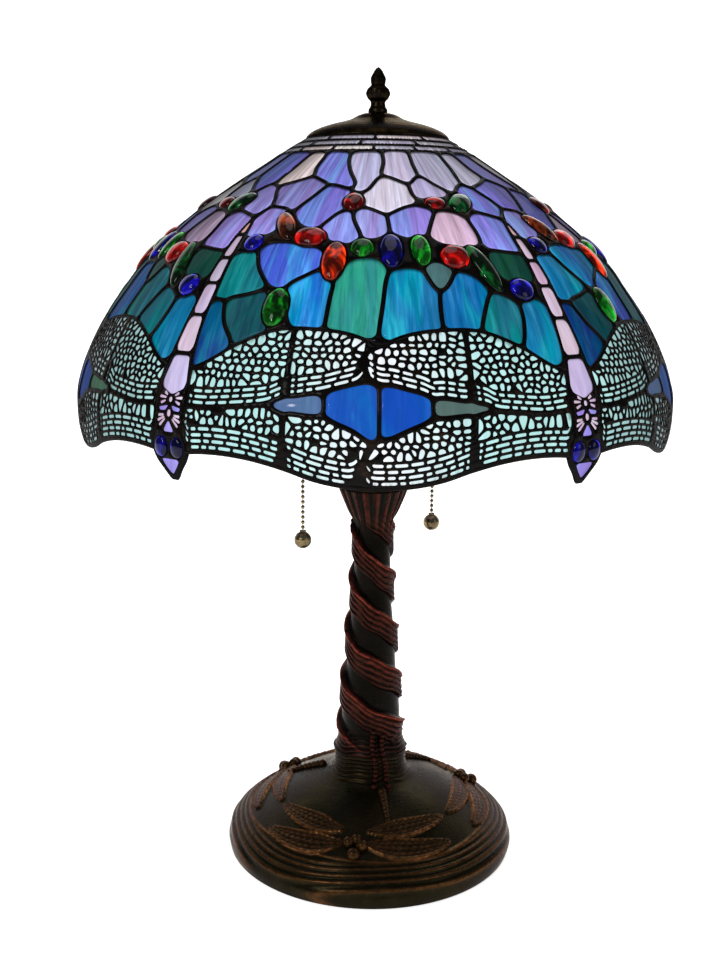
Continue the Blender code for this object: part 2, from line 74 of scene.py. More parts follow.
# linear colours of the glass: base, streak
GLASS_COLOURS = {
    "pale": ((0.56, 0.48, 0.80), (0.86, 0.78, 0.95)),
    "cream": ((0.80, 0.64, 0.68), (0.95, 0.85, 0.88)),
    "periwinkle": ((0.20, 0.16, 0.76), (0.34, 0.27, 0.95)),
    "violet": ((0.24, 0.16, 0.55), (0.42, 0.31, 0.74)),
    "lilac": ((0.34, 0.25, 0.82), (0.52, 0.43, 0.97)),
    "white": ((0.90, 0.84, 0.96), (1.0, 0.96, 1.0)),
    "pink": ((0.74, 0.38, 0.56), (0.86, 0.64, 0.84)),
    "slate": ((0.06, 0.13, 0.30), (0.14, 0.24, 0.44)),
    "moss": ((0.09, 0.13, 0.15), (0.08, 0.24, 0.14)),
    "sapphire": ((0.004, 0.055, 0.44), (0.02, 0.13, 0.56)),
    "teal": ((0.006, 0.13, 0.22), (0.03, 0.24, 0.30)),
    "royal": ((0.03, 0.07, 0.66), (0.10, 0.18, 0.82)),
    "azure": ((0.01, 0.13, 0.62), (0.03, 0.30, 0.72)),
    "green": ((0.008, 0.20, 0.36), (0.05, 0.38, 0.28)),
    "blue": ((0.002, 0.13, 0.42), (0.01, 0.24, 0.46)),
    "greyteal": ((0.03, 0.11, 0.12), (0.09, 0.20, 0.20)),
    "deepteal": ((0.003, 0.035, 0.06), (0.015, 0.09, 0.13)),
    "deepblue": ((0.004, 0.03, 0.20), (0.015, 0.09, 0.36)),
    "deepgreen": ((0.004, 0.045, 0.035), (0.015, 0.10, 0.08)),
    "peach": ((0.80, 0.42, 0.38), (0.88, 0.60, 0.60)),
    "mauve": ((0.62, 0.44, 0.64), (0.82, 0.68, 0.84)),
    "brick": ((0.42, 0.38, 0.50), (0.66, 0.62, 0.70)),
}
JEWEL_COLOURS = {
    "darkred": (0.26, 0.002, 0.003), "red": (0.80, 0.006, 0.004), "orange": (0.95, 0.040, 0.004),
    "amber": (0.16, 0.022, 0.004), "green": (0.004, 0.26, 0.012), "deepgreen": (0.002, 0.10, 0.018),
    "cobalt": (0.006, 0.004, 0.36)}

# one sector of the mosaic, as (angle in degrees from the sector's middle, height)
TILES = [
    ("cream", [(-39.5, 539), (-39, 544), (-37.5, 550), (-36.5, 558.5), (-29, 558.5), (-29, 552), (-28, 545),
               (-32.5, 541)]),
    ("periwinkle", [(-25.5, 548), (-27, 552), (-26.5, 559), (-16.5, 558.5), (-15, 552), (-12.5, 546),
                    (-9, 540), (-9, 537), (-14.5, 539.5), (-20, 542)]),
    ("pale", [(-13, 558.5), (0, 559), (0.5, 554), (-0.5, 547), (-3.5, 539), (-5, 535.5), (-6.5, 535.5),
              (-8, 541), (-11, 551)]),
    ("pale", [(4, 559.5), (14, 559.5), (13.5, 554), (14, 547), (10, 540), (6.5, 543), (1.8, 546.5),
              (3.5, 552)]),
    ("pale", [(17.5, 559.5), (31, 559), (31, 553), (30.5, 545), (26.5, 537), (22.5, 537), (19, 541),
              (16.5, 547.5), (16.5, 554)]),
    ("violet", [(-30.5, 524), (-32.5, 530), (-36, 536), (-31.5, 539), (-25.5, 541.5), (-19.5, 538),
                (-21.5, 533), (-24, 526), (-25.5, 523)]),
    ("periwinkle", [(-22.2, 522), (-19.3, 529), (-17, 536.5), (-12, 534), (-11.8, 527), (-12, 520),
                    (-13.5, 514.5), (-15.5, 512), (-18.5, 513), (-20.5, 517)]),
    ("white", [(-2.6, 532), (1, 543), (5.5, 541), (9, 536), (8.8, 528), (5, 522.5), (1.5, 519.5),
               (-2.2, 524)]),
    ("pale", [(11.5, 536), (15.5, 544), (18.5, 539), (21, 534), (19.5, 532.5), (15.5, 533), (12, 531)]),
    ("periwinkle", [(29.5, 537.5), (32.5, 536), (35, 531), (37.3, 523), (33.5, 519.5), (30, 523),
                    (28, 531)]),
    ("lilac", [(-33.5, 505.5), (-33.2, 513), (-33.8, 518), (-31, 520.5), (-27.8, 521), (-27.8, 517),
               (-28.2, 512), (-28.5, 507.5)]),
    ("lilac", [(-14, 511), (-11, 518.5), (-9, 516), (-7.8, 513), (-5.8, 506), (-7.2, 502.5),
               (-10.2, 503.5)]),
    ("lilac", [(-5.5, 515.5), (-3, 520), (-1, 518.5), (1.2, 515), (1, 510), (-1.5, 505.5), (-3.5, 506.5),
               (-4.6, 511)]),
    ("lilac", [(3, 516), (7, 521.5), (11, 519.5), (13.5, 518.5), (11, 509), (7.3, 506), (3.8, 510)]),
    ("pink", [(13.5, 507), (15.5, 516), (18.5, 517.2), (21.5, 514.8), (23.2, 508), (23, 502.5), (20, 501),
              (17, 503), (15, 503)]),
    ("periwinkle", [(26.5, 513.5), (29, 517), (32.5, 516), (33.8, 506), (33.3, 495.5), (29.5, 496.5),
                    (26.8, 499), (26.2, 506)]),
    ("teal", [(-32.8, 466), (-32.5, 475), (-33.3, 488), (-29, 490), (-27.2, 480), (-24.4, 471),
              (-27, 468)]),
    ("royal", [(-26, 489), (-26, 495), (-20.8, 495), (-18, 492.5), (-14.5, 492.5), (-13.3, 487),
               (-15.5, 481), (-19.8, 474.5), (-23, 480)]),
    ("azure", [(-17.5, 473), (-15, 476.5), (-12.5, 480), (-10, 473), (-10.2, 464), (-10.5, 451.5),
               (-14.5, 450.5), (-15.5, 459), (-15.3, 466)]),
    ("green", [(-8.5, 471), (-6.2, 477), (-5, 486), (-1, 486.5), (0.3, 476), (-0.3, 461), (-1.2, 446.5),
               (-4, 447.5), (-8.8, 451), (-8.8, 462)]),
    ("deepteal", [(-30.2, 462), (-24.2, 466.5), (-22.4, 461), (-22.3, 452), (-21.5, 446), (-25.5, 440.5),
                  (-29, 450)]),
    ("deepblue", [(-33.3, 452), (-32, 461.5), (-30.5, 453), (-29.2, 445), (-27.6, 438.5), (-30.3, 430),
                  (-33, 424.5)]),
    ("blue", [(0.8, 445.5), (1.5, 464), (2, 476), (4.2, 479.5), (6.6, 480), (8.6, 478), (10.2, 468),
              (10.4, 450), (5.5, 447)]),
    ("greyteal", [(11.4, 485), (13, 482), (14.3, 479.6), (12.4, 472.5), (10.8, 478)]),
    ("blue", [(12, 450.5), (12.5, 464), (15.2, 477.5), (17.5, 477.5), (19.2, 473.5), (20.5, 467),
              (17.8, 450)]),
    ("teal", [(19.2, 449), (21.8, 465), (24, 463.5), (27.2, 456.5), (25.5, 441), (22.3, 445.5)]),
    ("blue", [(28.6, 458.5), (32.2, 461.5), (33.4, 452), (32, 427), (27, 437.5)]),
    ("deepgreen", [(26.7, 493), (33, 492), (33, 479.5), (28, 479.5), (26.5, 484)]),
]
# colour, centre (degrees, height), and the two half-axes across and up the slope in millimetres
JEWELS = [
    ("darkred", (-7.6, 526), (5.2, 0), (0, -7.2)),
    ("amber", (-24, 509.5), (6.3, -2.4), (3.2, -10.4)),
    ("red", (-16.6, 502.8), (8.4, -0.6), (0, -6.6)),
    ("orange", (-9.8, 488.5), (5.8, 0), (0, -12.5)),
    ("green", (-3.9, 496.4), (5.6, 0), (0, -6)),
    ("cobalt", (2.6, 495), (5.8, 0), (0, -11.2)),
    ("green", (9.2, 495.5), (4.8, 0), (0, -10.3)),
    ("red", (16.6, 491.2), (7.4, -0.6), (-1, -7.4)),
    ("deepgreen", (22.7, 484.5), (4.6, 1.8), (4.5, -14.8)),
    ("cobalt", (29.6, 470.8), (6.6, 0), (0, -6.4)),
    ("cobalt", (-30.6, 498.6), (5.2, 0), (0, -5.8)),
    ("green", (-19.6, 459.4), (6.4, 0), (0, -10.8)),
    ("darkred", (16.7, 525.4), (5.6, 0), (0, -4.8)),
    ("deepgreen", (24.9, 525.8), (4.6, -3.6), (-5.2, -7)),
]
# where one sector's lead ends above the dragonfly's tail
SECTOR_EDGE = [(HALF_SECTOR, TAIL_TOP), (36.8, 516.5), (38.9, 523), (37.2, 530), (34.3, 536.6), (31.6, 538.3),
               (31.8, 545), (32.8, 552), (33.4, 558), (33.4, 562.9)]
WING_TOP = [(0, 438.0), (3, 442.5), (12, 447.5), (18, 446.5), (25, 437.0), (31, 424.0), (36, 417.0)]
WING_BOTTOM = [(0, 352.5), (5, 353.3), (10, 357.0), (15, 363.5), (20, 368.0), (30, 369.5), (36, 366.0)]
# the dragonfly's outline: height, half-width
DRAGONFLY = [
    (HEAD_TIP, 1.5), (355, 5.6), (362, 11.0), (370, 14.0), (380, 12.0), (388, 12.2), (400, 12.6), (410, 12.2),
    (420, 10.2), (429, 9.0), (440, 7.6), (455, 6.4), (470, 6.2), (488, 4.8), (503, 3.6), (TAIL_TOP, 1.5)]
WINGS = {
    "upper_left": [(-31.6, 422.5), (-25, 434.5), (-18, 444.5), (-12, 445.6), (-5, 443.0), (-2.3, 439.5),
                   (-3.9, 431), (-3.2, 421.5), (-8, 416.5), (-14, 411.3), (-21, 405), (-28.6, 399.4),
                   (-32.2, 399.2), (-32.7, 410)],
    "upper_right": [(31.6, 421.5), (25, 434), (18, 444), (11.7, 445.6), (5, 443), (0.6, 439), (-1.7, 431),
                    (-1.0, 422), (5, 414), (11.9, 407.6), (20, 401.8), (27.5, 397.6), (32.2, 399.2),
                    (32.7, 410)],
    "lower_left": [(-32.2, 395.6), (-28, 395.4), (-18, 396.4), (-9, 394.3), (-4, 387.5), (-2.2, 379.5),
                   (-4.0, 367), (-3.8, 357.4), (-8, 358.0), (-13.5, 363.6), (-17, 367.2), (-22, 370.7),
                   (-29, 371.8), (-31.7, 371), (-32.6, 382)],
    "lower_right": [(32.2, 395.2), (27.4, 393.8), (18, 396), (10.5, 394.3), (5, 388), (0.9, 379.7),
                    (-1.8, 366), (-0.6, 355.2), (5, 355.4), (10.5, 359.0), (15, 365.6), (20, 370),
                    (28, 371.6), (31.7, 371), (32.6, 382)],
}
WING_SPLIT = 15.0  # angle of the upright lead line across each wing
WING_MIDDLE = 16.0
WAIST = 390  # every pane of the lower wings has its middle under this height
BACKGROUND = [
    ("slate", [(-17.5, 401), (-9.4, 405.6), (-9.4, 397.2)]),
    ("sapphire", [(-7.8, 407), (-0.7, 413.2), (-0.7, 383.2), (-7.8, 395.8)]),
    ("sapphire", [(0.7, 413.4), (7.5, 408.2), (7.5, 395.8), (0.7, 383.4)]),
    ("moss", [(9.2, 406.5), (19.5, 401.4), (9.2, 397.2)]),
]


# ---------------------------------------------------------------- curves and mapping

def smooth_curve(points):
    """A smooth curve through the points, as a function of their first value."""
    x = np.array([p[0] for p in points], float)
    y = np.array([p[1] for p in points], float)
    slope = np.gradient(y, x)
    slope[0], slope[-1] = (y[1] - y[0]) / (x[1] - x[0]), (y[-1] - y[-2]) / (x[-1] - x[-2])

    def value(at):
        at = np.clip(np.asarray(at, float), x[0], x[-1])
        i = np.clip(np.searchsorted(x, at, side="right") - 1, 0, len(x) - 2)
        h = x[i + 1] - x[i]
        t = (at - x[i]) / h
        return (y[i] * (1 + 2 * t) * (1 - t) ** 2 + slope[i] * h * t * (1 - t) ** 2
                + y[i + 1] * t * t * (3 - 2 * t) + slope[i + 1] * h * t * t * (t - 1))
    return value


shade_radius = smooth_curve(SHADE_PROFILE)
_heights = np.linspace(SHADE_PROFILE[0][0], SHADE_PROFILE[-1][0], 700)
_radii = shade_radius(_heights)
_along = np.concatenate([[0], np.cumsum(np.hypot(np.diff(_heights), np.diff(_radii)))])


def arc_of(height):
    return np.interp(height, _heights, _along)


def height_of(arc):
    return np.interp(arc, _along, _heights)


def on_shade(angle, height, lift):
    """Points of the shade at angle (degrees from the front, towards +X) and height, lifted off its face."""
    angle, height, lift = (np.asarray(v, float) for v in np.broadcast_arrays(angle, height, lift))
    rise = (shade_radius(height + 0.4) - shade_radius(height - 0.4)) / 0.8
    out = 1 / np.hypot(1, rise)
    radius = shade_radius(height) + lift * out
    turn = np.radians(angle)
    return np.stack([radius * np.sin(turn), -radius * np.cos(turn), height - lift * rise * out], -1)


def mirrored(points):
    """A half curve given from the middle out, continued to the other side."""
    return [(-a, b) for a, b in points[:0:-1]] + list(points)


wing_top = smooth_curve(mirrored(WING_TOP))
wing_bottom = smooth_curve(mirrored(WING_BOTTOM))
dragonfly_half = smooth_curve(DRAGONFLY)


def half_angle(height):
    """Half the width of a dragonfly's body, in degrees."""
    return math.degrees(float(dragonfly_half(height)) / float(shade_radius(height)))


def to_plane(points, centre):
    """(angle, height) to millimetres across and up the slope, about an angle."""
    points = np.asarray(points, float)
    arc = arc_of(points[:, 1])
    return np.stack([np.radians(points[:, 0] - centre) * shade_radius(points[:, 1]), arc], -1)


def from_plane(points, centre):
    height = height_of(points[:, 1])
    return np.stack([centre + np.degrees(points[:, 0] / shade_radius(height)), height], -1)


def rounded(points, times=2, cut=0.14):
    """Corners cut off a closed outline."""
    p = np.asarray(points, float)
    for _ in range(times):
        after = np.roll(p, -1, 0)
        p = np.stack([(1 - cut) * p + cut * after, cut * p + (1 - cut) * after], 1).reshape(-1, 2)
    return p


def resampled(p, step, closed=True):
    p = np.asarray(p, float)
    if closed:
        p = np.vstack([p, p[:1]])
    length = np.concatenate([[0], np.cumsum(np.hypot(*np.diff(p, axis=0).T))])
    count = max(6 if closed else 2, int(round(length[-1] / step)))
    at = np.linspace(0, length[-1], count + 1)
    out = np.stack([np.interp(at, length, p[:, i]) for i in range(2)], -1)
    return out[:-1] if closed else out


def area(p):
    return 0.5 * np.sum(p[:, 0] * np.roll(p[:, 1], -1) - np.roll(p[:, 0], -1) * p[:, 1])


def anticlockwise(p):
    return p if area(p) > 0 else p[::-1].copy()


def outward(p):
    """Unit normals of a closed anticlockwise outline."""
    d = np.roll(p, -1, 0) - np.roll(p, 1, 0)
    d /= np.maximum(np.hypot(*d.T)[:, None], 1e-9)
    return np.stack([d[:, 1], -d[:, 0]], -1)


def grown(p, by):
    return p + outward(p) * by


def distances(p, q):
    """How far each point of p is from the nearest point of q."""
    return np.hypot(*(p[:, None] - q[None]).transpose(2, 0, 1)).min(1)


def inside(points, outline):
    """Which points lie inside a closed outline."""
    x, y = points[:, 0][:, None], points[:, 1][:, None]
    a, b = outline, np.roll(outline, -1, 0)
    crosses = (a[:, 1] > y) != (b[:, 1] > y)
    with np.errstate(divide="ignore", invalid="ignore"):
        at = a[:, 0] + (y - a[:, 1]) / (b[:, 1] - a[:, 1]) * (b[:, 0] - a[:, 0])
    return (crosses & (x < at)).sum(1) % 2 == 1


# ---------------------------------------------------------------- meshes

class Shape:
    """Vertices and faces being collected for one object."""

    def __init__(self):
        self.verts, self.faces, self.tints, self.count = [], [], [], 0

    def add(self, verts, faces, tint=(0, 0, 0, 1)):
        verts = np.asarray(verts, float).reshape(-1, 3)
        self.verts.append(verts)
        tint = np.asarray(tint, float)
        self.tints.append(np.broadcast_to(tint, (len(verts), 4)) if tint.ndim == 1 else tint)
        self.faces += [tuple(i + self.count for i in f) for f in faces]
        self.count += len(verts)

    def make(self, name, material, body, slot, nodes):
        mesh = bpy.data.meshes.new(name)
        mesh.from_pydata((np.vstack(self.verts) * MM).tolist(), [], self.faces)
        layer = mesh.color_attributes.new("tint", "FLOAT_COLOR", "POINT")
        layer.data.foreach_set("color", np.vstack(self.tints).astype(np.float32).ravel())
        mesh.validate()
        mesh.shade_smooth()
        mesh.materials.append(material)
        thing = bpy.data.objects.new(name, mesh)
        bpy.context.scene.collection.objects.link(thing)
        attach(thing, body)
        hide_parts(*nodes)


def turned(points, angle):
    """Points turned about the lamp's axis, the same way as angles on the shade."""
    a = math.radians(angle)
    c, s = math.cos(a), math.sin(a)
    return points @ np.array([[c, s, 0], [-s, c, 0], [0, 0, 1]])


def circle(steps):
    """Angles round a circle, in radians."""
    return np.linspace(0, 2 * math.pi, steps, endpoint=False)


def ring(radius, turn, height, centre=(0, 0)):
    """Points round an upright axis."""
    return np.stack([centre[0] + radius * np.cos(turn), centre[1] + radius * np.sin(turn),
                     np.full(len(turn), float(height))], -1)


def grid_faces(rows, steps):
    """Faces between rings of points, from the first ring to the last."""
    faces = []
    for i in range(rows - 1):
        for j in range(steps):
            k = (j + 1) % steps
            faces.append((i * steps + j, i * steps + k, (i + 1) * steps + k, (i + 1) * steps + j))
    return faces


def wrapped_faces(rows, steps):
    """The same, with the last ring joined to the first."""
    last = (rows - 1) * steps
    closing = [(last + j, last + (j + 1) % steps, (j + 1) % steps, j) for j in range(steps)]
    return grid_faces(rows, steps) + closing


def lathe(shape, outline, steps):
    """A closed ring turned from a closed (radius, height) outline that doesn't reach the axis."""
    rows = [ring(r, circle(steps), z) for r, z in anticlockwise(np.asarray(outline, float))]
    shape.add(np.vstack(rows), wrapped_faces(len(rows), steps))


def capped(shape, rows, tint=(0, 0, 0, 1)):
    """Rings of points from the bottom up, closed with a fan at each end."""
    rows = np.asarray(rows)
    count, steps = rows.shape[:2]
    ends = [rows[0].mean(0), rows[-1].mean(0)]
    low, high, top = count * steps, count * steps + 1, (count - 1) * steps
    faces = grid_faces(count, steps)
    faces += [(low, (j + 1) % steps, j) for j in range(steps)]
    faces += [(high, top + j, top + (j + 1) % steps) for j in range(steps)]
    shape.add(np.vstack([rows.reshape(-1, 3), ends]), faces, tint)


def ball(shape, centre, radius, steps=16, tint=(0, 0, 0, 1)):
    lats = np.linspace(-math.pi / 2, math.pi / 2, steps // 2 + 3)[1:-1]
    rows = [ring(math.cos(lat), circle(steps), math.sin(lat)) * radius for lat in lats]
    capped(shape, np.array(rows) + np.array(centre, float), tint)


# ---------------------------------------------------------------- glass and lead

random = np.random.default_rng(7)


def tile_outline(points, step=1.5, grow=UNDER_LEAD, corners=2):
    """A glass piece's outline as (angle, height), rounded and grown under the lead."""
    points = np.asarray(points, float)
    centre = points[:, 0].mean()
    p = resampled(rounded(anticlockwise(to_plane(points, centre)), corners), step)
    return from_plane(grown(p, grow) if grow else p, centre)


def spread_out(outlines, border, fixed=(), gap=LEAD_GAP, margin=1.3, rounds=7,
               copies=(-SECTOR, 0, SECTOR)):
    """Widens the pieces until the lead between them is even; they keep clear of the fixed outlines."""
    outlines = [np.asarray(o, float) for o in outlines]
    for _ in range(rounds):
        moved = []
        for i, outline in enumerate(outlines):
            centre = outline[:, 0].mean()
            p = to_plane(outline, centre)
            near = [o + (c, 0) for j, o in enumerate(outlines) for c in copies if (j, c) != (i, 0)]
            near = [o for o in near if o[:, 0].min() - 8 < outline[:, 0].max()
                    and o[:, 0].max() + 8 > outline[:, 0].min()]
            step = np.full(len(p), 1.0)
            if near:
                q = to_plane(np.vstack(near), centre)
                step = (distances(p, q) - gap) / 2
            step = np.minimum(step, distances(p, to_plane(border, centre)) - margin)
            for o in fixed:
                for c in copies:
                    if abs(o[:, 0].mean() + c - centre) < 22:
                        q = to_plane(o + (c, 0), centre)
                        d = distances(p, q)
                        step = np.minimum(step, np.where(inside(p, q), -d, d) - JEWEL_GAP)
            step = np.clip(step, -0.8, 0.8)
            step = np.minimum(step, (np.roll(step, 1) + 2 * step + np.roll(step, -1)) / 4 + 0.1)
            p = resampled(p + outward(p) * step[:, None], 1.4)
            p = 0.5 * p + 0.25 * (np.roll(p, 1, 0) + np.roll(p, -1, 0))
            moved.append(from_plane(p, centre))
        outlines = moved
    return outlines


def grown_outline(outline, by=UNDER_LEAD):
    centre = outline[:, 0].mean()
    return from_plane(grown(to_plane(outline, centre), by), centre)


def domed(shape, outline, shares, lift, tint, turn):
    """A closed piece of glass on the shade, flat at the back.
    lift(share) is how far it stands out at a share of the way from its middle to its outline."""
    outline = np.asarray(outline, float)
    middle, count = outline.mean(0), len(outline)
    parts = []
    for share in shares:
        p = middle + (outline - middle) * share
        parts.append(on_shade(p[:, 0], p[:, 1], lift(share)))
    parts.append(on_shade(middle[0], middle[1], lift(0))[None])
    parts.append(on_shade(outline[:, 0], outline[:, 1], -GLASS_DEPTH))
    parts.append(on_shade(middle[0], middle[1], -GLASS_DEPTH)[None])
    last, peak = (len(shares) - 1) * count, len(shares) * count
    first = peak + 1
    faces = grid_faces(len(shares), count)
    faces += [(last + j, last + (j + 1) % count, peak) for j in range(count)]
    faces += [(first + j, first + (j + 1) % count, (j + 1) % count, j) for j in range(count)]
    faces += [(first + (j + 1) % count, first + j, first + count) for j in range(count)]
    shape.add(turned(np.vstack(parts), turn), faces, tint)


def pillow(shape, outline, tint, turn, swell):
    """A tile with a slightly domed outer face."""
    domed(shape, outline, (1, 0.86, 0.6, 0.3), lambda share: swell * (1 - share ** 2) ** 0.75, tint, turn)


def slab(place, faces, outer, inner):
    """Flat faces made into a slab between two lifts off the shade: its vertices and faces."""
    count = len(place)
    front = [tuple(f) for f in faces]
    back = [tuple(i + count for i in reversed(f)) for f in front]
    edges = dict.fromkeys((f[i], f[(i + 1) % len(f)]) for f in front for i in range(len(f)))
    walls = [(b, a, a + count, b + count) for a, b in edges if (b, a) not in edges]
    verts = [on_shade(place[:, 0], place[:, 1], lift) for lift in (outer, inner)]
    return np.vstack(verts), front + back + walls


def spaced(points, others, spacing):
    """The points that keep their distance from the others and from each other; all as (angle, height)."""
    grid, kept = {}, []
    for x, y in to_plane(others, 0):
        grid.setdefault((int(x // spacing), int(y // spacing)), []).append((x, y))
    for point, (x, y) in zip(points, to_plane(points, 0)):
        cx, cy = int(x // spacing), int(y // spacing)
        near = [q for i in (-1, 0, 1) for j in (-1, 0, 1) for q in grid.get((cx + i, cy + j), ())]
        if all((x - q[0]) ** 2 + (y - q[1]) ** 2 >= spacing * spacing for q in near):
            kept.append(point)
            grid.setdefault((cx, cy), []).append((x, y))
    return kept


def lead_net(domain, holes, bead=BEAD, edge=0.15, crest=1.0, spacing=0.55):
    """Lead between glass pieces: the domain with the holes left out, raised into beads round each hole.
    Everything is in (angle, height); returns vertices on the unturned shade, and faces."""
    outlines = [np.asarray(domain, float)] + [np.asarray(h, float) for h in holes]
    rounds, start = [], 0
    for o in outlines:
        rounds.append(list(range(start, start + len(o))))
        start += len(o)
    points = np.vstack(outlines)
    lifts = np.full(len(points), edge)
    lifts[:len(outlines[0])] = crest * OUTER_EDGE
    tops = np.vstack([grown_outline(o, bead) for o in outlines[1:]])
    keep = inside(tops, outlines[0])
    for o in outlines[1:]:
        near = ((tops[:, 0] > o[:, 0].min() - 1) & (tops[:, 0] < o[:, 0].max() + 1)
                & (tops[:, 1] > o[:, 1].min() - 2) & (tops[:, 1] < o[:, 1].max() + 2) & keep)
        if near.any():
            keep[np.where(near)[0][inside(tops[near], o)]] = False
    tops = spaced(tops[keep], points, spacing)
    if tops:
        points = np.vstack([points, tops])
        lifts = np.append(lifts, np.full(len(tops), crest))
    flat = [Vector((a * DEGREE, arc)) for a, arc in zip(points[:, 0], arc_of(points[:, 1]))]
    verts, _, faces, whence, _, face_of = delaunay_2d_cdt(flat, [], rounds, 1, 1e-6, True)
    place = np.array([tuple(v) for v in verts])
    place = np.stack([place[:, 0] / DEGREE, height_of(place[:, 1])], -1)
    lift = np.array([lifts[w[0]] if w else crest * OUTER_EDGE for w in whence])
    front = [f for f, owner in zip(faces, face_of) if list(owner) == [0]]
    return slab(place, front, lift, -GLASS_DEPTH)


def glass_tint(colour):
    """One piece of glass's colour, a little different from the next piece's."""
    base, light = GLASS_COLOURS[colour]
    mix = random.uniform(0.1, 0.75)
    c = np.array(base) * (1 - mix) + np.array(light) * mix
    c = np.clip(c * (1 + random.uniform(-0.06, 0.06, 3)), 0, 1)
    return np.append(c, random.uniform(0, 1))


OTHER_COLOURS = {
    "pale": ("pale", "lilac", "periwinkle", "white"), "periwinkle": ("periwinkle", "violet", "lilac"),
    "violet": ("violet", "periwinkle"), "lilac": ("lilac", "periwinkle", "mauve"),
    "cream": ("cream", "pale"), "white": ("pale", "white"), "pink": ("pink", "mauve"),
    "teal": ("teal", "blue"), "royal": ("royal", "azure"), "azure": ("azure", "royal"),
    "green": ("green", "teal"), "blue": ("blue", "azure", "teal"), "deepteal": ("deepteal", "teal"),
    "deepblue": ("deepblue", "blue"), "greyteal": ("greyteal", "deepteal"),
    "deepgreen": ("deepgreen", "deepteal")}


def sector_colour(colour, sector):
    """The front sector keeps its colours; the others are cut from similar glass."""
    return colour if sector == 0 else str(random.choice(OTHER_COLOURS[colour]))


# ---------------------------------------------------------------- materials

def new_material(name):
    material = bpy.data.materials.new(name)
    material.use_nodes = True
    nodes, links = material.node_tree.nodes, material.node_tree.links
    return material, nodes, links, nodes["Principled BSDF"]


def add_node(nodes, kind, **settings):
    node = nodes.new(kind)
    for key, value in settings.items():
        if key in node.inputs:
            node.inputs[key].default_value = value
        else:
            setattr(node, key, value)
    return node


def mixed(nodes, links, factor, a, b, blend="MIX"):
    """A colour mix; a and b are sockets or colours, and so is the result."""
    node = add_node(nodes, "ShaderNodeMix", data_type="RGBA", blend_type=blend)
    for socket, value in ((node.inputs[0], factor), (node.inputs[6], a), (node.inputs[7], b)):
        if isinstance(value, bpy.types.NodeSocket):
            links.new(value, socket)
        elif isinstance(value, (int, float)):
            socket.default_value = value
        else:
            socket.default_value = (*value[:3], 1)
    return node.outputs[2]


def ramp(nodes, links, source, stops):
    node = nodes.new("ShaderNodeValToRGB")
    elements = node.color_ramp.elements
    while len(elements) < len(stops):
        elements.new(0.5)
    for element, (at, colour) in zip(elements, stops):
        element.position = at
        element.color = (*colour, 1) if np.ndim(colour) else (colour, colour, colour, 1)
    links.new(source, node.inputs[0])
    return node.outputs[0]


def object_noise(nodes, links, scale, detail=3.0, stretch=None, roughness=0.5, distortion=0.0):
    coord = nodes.new("ShaderNodeTexCoord")
    socket = coord.outputs["Object"]
    if stretch is not None:
        mapping = add_node(nodes, "ShaderNodeMapping")
        mapping.inputs["Scale"].default_value = stretch
        links.new(socket, mapping.inputs[0])
        socket = mapping.outputs[0]
    noise = add_node(nodes, "ShaderNodeTexNoise", Scale=scale, Detail=detail, Roughness=roughness,
                     Distortion=distortion)
    links.new(socket, noise.inputs["Vector"])
    return noise.outputs["Fac"]


DOME_RADIUS = 190  # of the shade's middle height, about


def streak_noise(nodes, links, wide, tall, detail=3.0, roughness=0.5, distortion=0.0):
    """Noise drawn out down the dome; wide and tall are its grain in millimetres, round and up the shade."""
    coord = nodes.new("ShaderNodeTexCoord")
    around = add_node(nodes, "ShaderNodeVectorMath", operation="MULTIPLY")
    around.inputs[1].default_value = (1, 1, 0)
    links.new(coord.outputs["Object"], around.inputs[0])
    ring = add_node(nodes, "ShaderNodeVectorMath", operation="NORMALIZE")
    links.new(around.outputs[0], ring.inputs[0])
    scale = DOME_RADIUS / wide  # the ring has radius 1
    upright = add_node(nodes, "ShaderNodeVectorMath", operation="MULTIPLY")
    upright.inputs[1].default_value = (0, 0, 1 / (tall * MM * scale))
    links.new(coord.outputs["Object"], upright.inputs[0])
    place = add_node(nodes, "ShaderNodeVectorMath", operation="ADD")
    links.new(ring.outputs[0], place.inputs[0])
    links.new(upright.outputs[0], place.inputs[1])
    noise = add_node(nodes, "ShaderNodeTexNoise", Scale=scale, Detail=detail, Roughness=roughness,
                     Distortion=distortion)
    links.new(place.outputs[0], noise.inputs["Vector"])
    return noise.outputs["Fac"]


def bump(nodes, links, height, strength, distance, shader):
    node = add_node(nodes, "ShaderNodeBump", Strength=strength, Distance=distance)
    links.new(height, node.inputs["Height"])
    links.new(node.outputs[0], shader.inputs["Normal"])


